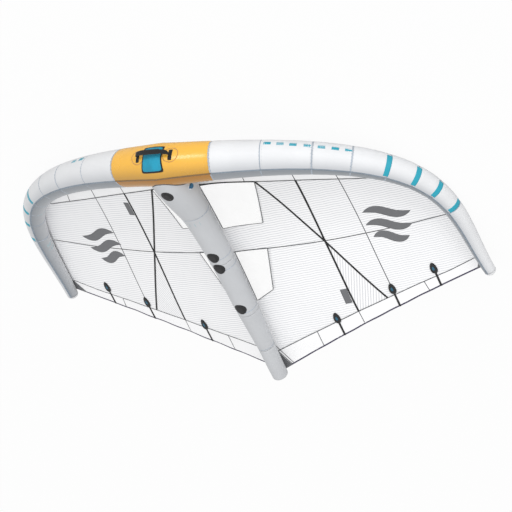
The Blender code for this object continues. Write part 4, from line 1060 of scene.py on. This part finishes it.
# The arcs along the tube at which its skin lies this far out, at these angles
def arcAtX(x, angle):
    x, angle = np.broadcast_arrays(x, angle)
    run = np.linspace(0, 0.30, 61)
    reach = tubeAt(run[:, None], angle.ravel(), 0.001, relief=False)[..., 0]
    arcs = [math.copysign(np.interp(abs(out), line, run), out) for out, line in zip(x.ravel(), reach.T)]
    return np.array(arcs).reshape(x.shape)


# The border of a grid, once around
def rimOf(grid):
    return np.concatenate((grid[:-1, 0], grid[-1, :-1], grid[:0:-1, -1], grid[0, :0:-1]))


# A plate with a top, an underside and a wall between them
def addPlate(name, top, under, uv, finish, side=1):
    wall = np.stack((rimOf(under), rimOf(top)))
    wallMap = joined(np.array((0, 0.002))[:, None], np.arange(wall.shape[1] + 1) * 0.004)
    plate = addSkins(name, [(top, uv), (under, uv), (wall, wallMap)], finish, 0, side)
    mended(plate.data, 0.00002)
    return plate


def guardSpot(across, up):
    low, high = math.radians(guard["bottomAngle"]), math.radians(guard["topAngle"])
    width = np.interp(-up, np.linspace(-1, 1, len(guard["halfWidths"])), guard["halfWidths"])
    angle = (low + high) / 2 + (high - low) / 2 * up
    return arcAtX(across * width + guard["shift"], angle), angle


def buildGuard():
    line = np.linspace(-1, 1, guard["points"])
    a, b = np.meshgrid(line, line, indexing="ij")
    across, up = (p * np.sqrt(1 - guard["rounding"] * q ** 8) for p, q in ((a, b), (b, a)))
    arc, angle = guardSpot(across, up)
    swell = (1 - a ** 6) * (1 - b ** 6)
    crease = np.exp(-((np.abs(b) - guard["quiltPlace"]) / guard["quiltWidth"]) ** 2) * (np.abs(a) < 0.95)
    height = guard["edge"] + guard["fill"] * swell * (1 - guard["quiltDepth"] * crease)
    top, under = tubeAt(arc, angle, guard["base"] + height), tubeAt(arc, angle, guard["base"])
    pad = addPlate("knuckleGuard", top, under, joined(arc, angle * guard["mapRadius"]), guardKnit)
    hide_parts("knuckle_guard")
    arc, angle, inward = rimOf(arc), rimOf(angle), guard["bindingReach"] - 1
    middle = math.radians((guard["bottomAngle"] + guard["topAngle"]) / 2)
    rows = [tubeAt(arc * (1 + inward * share), angle + (angle - middle) * inward * share,
                   guard["base"] + height) for share, height in guard["bindingProfile"]]
    rows.append((rows[0] + rows[-1]) / 2)
    uv = joined(np.arange(len(arc) + 1) * 0.0045, np.linspace(-0.006, 0.006, len(rows))[:, None])
    addSkins("guardBinding", [(np.array(rows), uv)], webbing, guard["bindingThickness"], solid=True)


# Front handle, a webbing strap with a thicker grip
handle = {"halfWidth": 0.120, "rise": 0.052, "strapWidth": 0.030, "thickness": 0.0050, "endWidth": 0.009,
          "shoulder": 0.62, "stations": 96, "angle": -24.0, "sleeve": 0.62, "sleeveWidth": 0.035,
          "sleeveThickness": 0.0078, "sleeveEnd": 0.04}


def handleAxes():
    angle = math.radians(handle["angle"])
    across, outward = laidWay((1, 0, 0)), laidWay((0, -math.cos(angle), math.sin(angle)))
    return np.array(joints["front_handle_hinge"]["pos_m"]), across, np.cross(outward, across), outward


def roundedSection(half, thick, count=24):
    c, s = np.cos(circle(count)[:-1]), np.sin(circle(count)[:-1])
    return np.sign(c) * np.abs(c) ** 0.35 * half, np.sign(s) * np.abs(s) ** 0.6 * thick


def buildHandle():
    hinge, across, side, outward = handleAxes()
    turn = math.pi * np.linspace(0, 1, handle["stations"] + 1)
    x = handle["halfWidth"] * np.sign(-np.cos(turn)) * np.abs(np.cos(turn)) ** handle["shoulder"]
    lift = handle["rise"] * np.sin(turn) ** handle["shoulder"]
    along = unit(joined(np.gradient(x), np.gradient(lift)))
    wide = np.minimum(1.0, lift / (handle["rise"] * handle["shoulder"]))
    grip = np.clip((handle["sleeve"] - np.abs(x) / handle["halfWidth"]) / handle["sleeveEnd"], 0, 1)
    width = handle["endWidth"] + (handle["strapWidth"] - handle["endWidth"]) * wide
    width += (handle["sleeveWidth"] - handle["strapWidth"]) * grip
    thick = handle["thickness"] + (handle["sleeveThickness"] - handle["thickness"]) * grip
    a, b = roundedSection(width[:, None] / 2, thick[:, None] / 2)
    outX, outZ = x[:, None] - along[:, 1:] * b, lift[:, None] + along[:, :1] * b
    grid = hinge + outX[..., None] * across + a[..., None] * side + outZ[..., None] * outward
    ring = roundedSection(handle["strapWidth"] / 2, 0)[0]
    uv = joined(runOf(joined(x, lift))[:, None], np.append(ring, ring[0]))
    strap = addSkins("frontHandle", [(grid, uv)], webbing, placed=True, body="front_handle", caps=(0, -1),
                     solid=True, sharp=55)
    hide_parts("front_handle")


# The sewn ends of the handle, each with a lug under the strap and a round patch below it
anchors = {"start": 0.1228, "width": 0.026, "length": 0.078, "base": 0.0004, "edge": 0.0008,
           "height": 0.0021,
           "lugPlace": 0.13, "lugWidth": 0.16, "lugLength": 0.13, "lugHeight": 0.0140, "angle": -24.0,
           "patch": 0.052, "patchSides": 48, "patchRows": (1.0, 0.66, 0.33, 0.02), "patchThickness": 0.0003,
           "patchLift": 0.0002, "stitchLift": 0.0006, "stitchReach": 0.003}


def aroundAnchor(reach, turns, lift):
    angle = math.radians(anchors["angle"]) + reach * np.sin(turns) / (tube["rootDiameter"] / 2)
    return tubeAt(arcAtX(anchors["start"] + reach * np.cos(turns), angle), angle, lift)


def buildAnchors():
    a, b = np.meshgrid(np.linspace(-1, 1, 19), np.linspace(-1, 1, 31), indexing="ij")
    x = anchors["start"] + anchors["width"] / 2 * a * np.sqrt(1 - 0.10 * b ** 10)
    reach = anchors["length"] / tube["rootDiameter"]
    angle = math.radians(anchors["angle"]) + reach * b * np.sqrt(1 - 0.06 * a ** 10)
    arc = arcAtX(x, angle)
    slope = np.clip((1 - np.maximum(np.abs(a), np.abs(b))) / 0.12, 0, 1) ** 0.5
    lug = np.exp(-((a - anchors["lugPlace"]) / anchors["lugWidth"]) ** 4 - (b / anchors["lugLength"]) ** 4)
    height = anchors["edge"] + (anchors["height"] - anchors["edge"]) * slope
    height += anchors["base"] + (anchors["lugHeight"] - anchors["height"]) * lug
    top, under = tubeAt(arc, angle, height), tubeAt(arc, angle, anchors["base"])
    turns, thick = circle(anchors["patchSides"]), anchors["patchThickness"]
    scales = np.array(anchors["patchRows"])[:, None] * anchors["patch"]
    stitches = np.array((-1, 0, 1))[:, None] * anchors["stitchReach"]
    patch = aroundAnchor(scales, turns[:-1], anchors["patchLift"]), joined(scales, turns * 0.03)
    stitching = (aroundAnchor(anchors["patch"] + stitches, turns[:-1], anchors["stitchLift"]),
                 joined(turns * 0.05, stitches))
    for side, label in halves:
        plate = addPlate("handleAnchor_" + label, top, under,
                         joined(angle * guard["mapRadius"], x - anchors["start"]), webbing, side)
        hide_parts("handle_anchor_" + label)
        addSkins("anchorPatch_" + label, [patch], patchOrange, thick, side)
        addSkins("anchorStitching_" + label, [stitching], orangeTape, thick, side)


buildGuard()
buildHandle()
buildAnchors()
print("front handle and guard done")

# Inflation valve. A profile holds radii and heights, and a third value where the grip has ribs.
valve = {"base": 0.0012, "collarHeight": 0.010, "hingeReach": -0.022, "hingeHeight": 0.0065,
         "sides": 56, "poppetSides": 40, "capRibs": 0.018, "strapWidth": 0.009, "strapThickness": 0.0016}


def valveAxes():
    z = unit(-np.array(joints["valve_poppet_slide"]["axis"], float))
    y = unit(-np.array(joints["valve_cap_hinge"]["axis"], float))
    x = np.cross(y, z)
    hinge = np.array(joints["valve_cap_hinge"]["pos_m"])
    return hinge - valve["hingeReach"] * x - valve["hingeHeight"] * z, x, y, z


def turnedPiece(name, profile, finish, body, node, bored=False, ribs=0.0, sides=valve["sides"]):
    origin, x, y, z = valveAxes()
    turns, rows = circle(sides), []
    c, s = np.cos(turns[:-1]), np.sin(turns[:-1])
    for radius, height, *ribbed in profile:
        r = radius * (1 + ribs * sum(ribbed) * np.cos(turns[:-1] * sides / 4))
        rows.append(origin + (r * c)[:, None] * x + (r * s)[:, None] * y + height * z)
    if bored:
        rows.append(rows[0])
    uv = joined(np.arange(len(rows))[:, None] * 0.002, turns * 0.015)
    piece = addSkins(name, [(np.array(rows), uv)], finish, 0, placed=True, body=body,
                     caps=() if bored else (0, -1), solid=True, sharp=35)
    mended(piece.data, 0.00001)
    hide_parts(node)


def buildValve():
    base, rim = valve["base"], valve["base"] + valve["collarHeight"]
    profile = ((0.006, -0.0160), (0.0144, -0.0160), (0.0150, -0.0154), (0.0150, base), (0.0252, base),
               (0.0260, base + 0.0006), (0.0258, base + 0.0014), (0.0215, base + 0.0026),
               (0.0152, base + 0.0030), (0.0146, base + 0.0036), (0.0137, rim - 0.0030),
               (0.0137, rim - 0.0024), (0.0130, rim - 0.0004), (0.0124, rim), (0.0106, rim),
               (0.0100, rim - 0.0006), (0.0100, -0.0140), (0.006, -0.0140))
    turnedPiece("valveBody", profile, valvePlastic, "wing", "valve_body", bored=True)
    profile = ((0.0078, -0.0193), (0.0080, -0.0190), (0.0080, -0.0165), (0.0076, -0.0163),
               (0.0030, -0.0163), (0.0030, -0.0070), (0.0043, -0.0069), (0.0045, -0.0065),
               (0.0045, -0.0044), (0.0040, -0.0040))
    turnedPiece("valvePoppet", profile, valvePlastic, "valve_poppet", "valve_poppet",
                sides=valve["poppetSides"])
    low, roof = base + 0.0033, rim + 0.0003
    profile = ((0.0060, roof), (0.0158, roof - 0.0002), (0.0160, low), (0.0176, low),
               (0.0180, low + 0.0006, 1), (0.0180, roof + 0.0004, 1), (0.0174, roof + 0.0016, 0.6),
               (0.0158, roof + 0.0023),
               (0.0128, roof + 0.0024), (0.0120, roof + 0.0017), (0.0030, roof + 0.0017))
    turnedPiece("valveCap", profile, capPlastic, "valve_cap", "valve_cap",
                ribs=valve["capRibs"])
    origin, x, y, z = valveAxes()
    a, b = roundedSection(valve["strapWidth"] / 2, valve["strapThickness"] / 2, 16)
    path = ((-0.0150, 0.0058), (-0.0185, 0.0056), (-0.0205, 0.0060), (-0.0220, 0.0065), (-0.0236, 0.0062))
    rows = [origin + reach * x + a[:, None] * y + (level + b)[:, None] * z for reach, level in path]
    uv = joined(np.arange(len(rows))[:, None] * 0.002, np.linspace(0, 0.02, 17))
    addSkins("capStrap", [(np.array(rows), uv)], capPlastic, 0, placed=True, body="valve_cap", caps=(0, -1),
             solid=True)


buildValve()
for node, finish in (("leading_edge_bladder", bladderFilm), ("strut_bladder", bladderFilm),
                     ("transfer_hose", valvePlastic)):
    frame["nodes"][node].data.materials.clear()
    frame["nodes"][node].data.materials.append(finish)
print("valve done")

# Floor and light
stage = {"floorRings": (0.01, 3.0, 8.0, 20.0, 70.0), "floorSides": 96, "floorHeight": -0.0005,
         "floorColour": "#D8D8D8", "cameraWhite": 0.95,
         "skyFront": 1.13, "skyBack": 0.28, "skyTurn": (-0.10, -0.30, 0.95),
         "lamps": {"key": {"power": 380.0, "size": (5.0, 5.0), "place": (-8.0, -7.4, 1.4),
                           "aim": (0, 0, 0.3)},
                   "glint": {"power": 42.0, "size": (1.2, 1.3), "place": (0.05, -5.85, 1.50),
                             "aim": (-0.25, -1.0, 0.42)}}}


# The floor looks white to the camera and casts back only soft grey light
def floorFinish():
    material, tree, shader = newFinish("pale floor")
    cloud = noise(tree, 1.5, 3.0)
    tree.links.new(between(tree, cloud, 0.3, 0.7, 0.80, 0.84), shader.inputs["Roughness"])
    shader.inputs["Base Color"].default_value = linear(stage["floorColour"])
    shader.inputs["Specular IOR Level"].default_value = 0.1
    glow = put(tree, "Emission", {"Color": (1, 1, 1, 1), "Strength": 1.0}).outputs[0]
    path = put(tree, "LightPath")
    seen = sums(tree, "MAXIMUM", path.outputs["Is Camera Ray"], path.outputs["Is Transmission Ray"])
    seen = times(tree, seen, stage["cameraWhite"])
    blend = put(tree, "MixShader", {0: seen, 1: shader.outputs[0], 2: glow})
    tree.links.new(blend.outputs[0], tree.nodes["Material Output"].inputs["Surface"])
    return material


def buildFloor():
    rings, turns = np.array(stage["floorRings"])[:, None], circle(stage["floorSides"])[:-1]
    grid = joined(rings * np.cos(turns), rings * np.sin(turns), stage["floorHeight"])
    index = np.arange(grid[..., 0].size).reshape(grid.shape[:2])
    ring = np.concatenate((index, index[:, :1]), 1)
    quads = np.stack((ring[:-1, :-1], ring[1:, :-1], ring[1:, 1:], ring[:-1, 1:]), 2).reshape(-1, 4)
    mesh = bpy.data.meshes.new("floor")
    mesh.from_pydata(grid.reshape(-1, 3).tolist(), [], quads.tolist() + [index[0].tolist()])
    mesh.materials.append(floorFinish())
    floor = bpy.data.objects.new("floor", mesh)
    bpy.context.scene.collection.objects.link(floor)


def buildLight():
    world = bpy.data.worlds.new("soft studio")
    bpy.context.scene.world = world
    world.use_nodes = True
    tree = world.node_tree
    room = tree.nodes["Background"]
    room.inputs["Color"].default_value = (1, 1, 1, 1)
    facing = put(tree, "VectorMath", {0: put(tree, "TexCoord").outputs["Generated"], 1: stage["skyTurn"]},
                 operation="DOT_PRODUCT").outputs["Value"]
    strength = put(tree, "MapRange", {"Value": facing, "From Min": -1.0, "From Max": 1.0,
                                      "To Min": stage["skyBack"], "To Max": stage["skyFront"]}).outputs[0]
    tree.links.new(strength, room.inputs["Strength"])
    for name, values in stage["lamps"].items():
        data = bpy.data.lights.new(name + " lamp", "AREA")
        data.shape, data.energy = "RECTANGLE", values["power"]
        data.size, data.size_y = values["size"]
        lamp = bpy.data.objects.new(name + " lamp", data)
        lamp.location = values["place"]
        lamp.rotation_euler = (Vector(values["aim"]) - lamp.location).to_track_quat("-Z", "Y").to_euler()
        lamp.visible_camera = False
        bpy.context.scene.collection.objects.link(lamp)


# Camera, placed as the wing flies and laid down with it
view = {"lens": 196.875, "place": (9.6597, -9.7305, -11.9209), "right": (0.86107, 0.38159, 0.33607),
        "up": (0.05397, -0.72577, 0.68581), "ahead": (-0.50561, 0.57240, 0.64554)}


def buildCamera():
    data = bpy.data.cameras.new("camera")
    data.lens, data.sensor_width, data.clip_end = view["lens"], 36.0, 200.0
    camera = bpy.data.objects.new("camera", data)
    matrix = np.eye(4)
    ways = (laidWay(view["right"]), laidWay(view["up"]), -laidWay(view["ahead"]), laid(view["place"]))
    matrix[:3] = np.stack(ways, 1)
    camera.matrix_world = Matrix(matrix.tolist())
    bpy.context.scene.collection.objects.link(camera)
    bpy.context.scene.camera = camera


buildFloor()
buildLight()
buildCamera()
bpy.context.scene.view_settings.view_transform = "Standard"
print("stage and camera done")
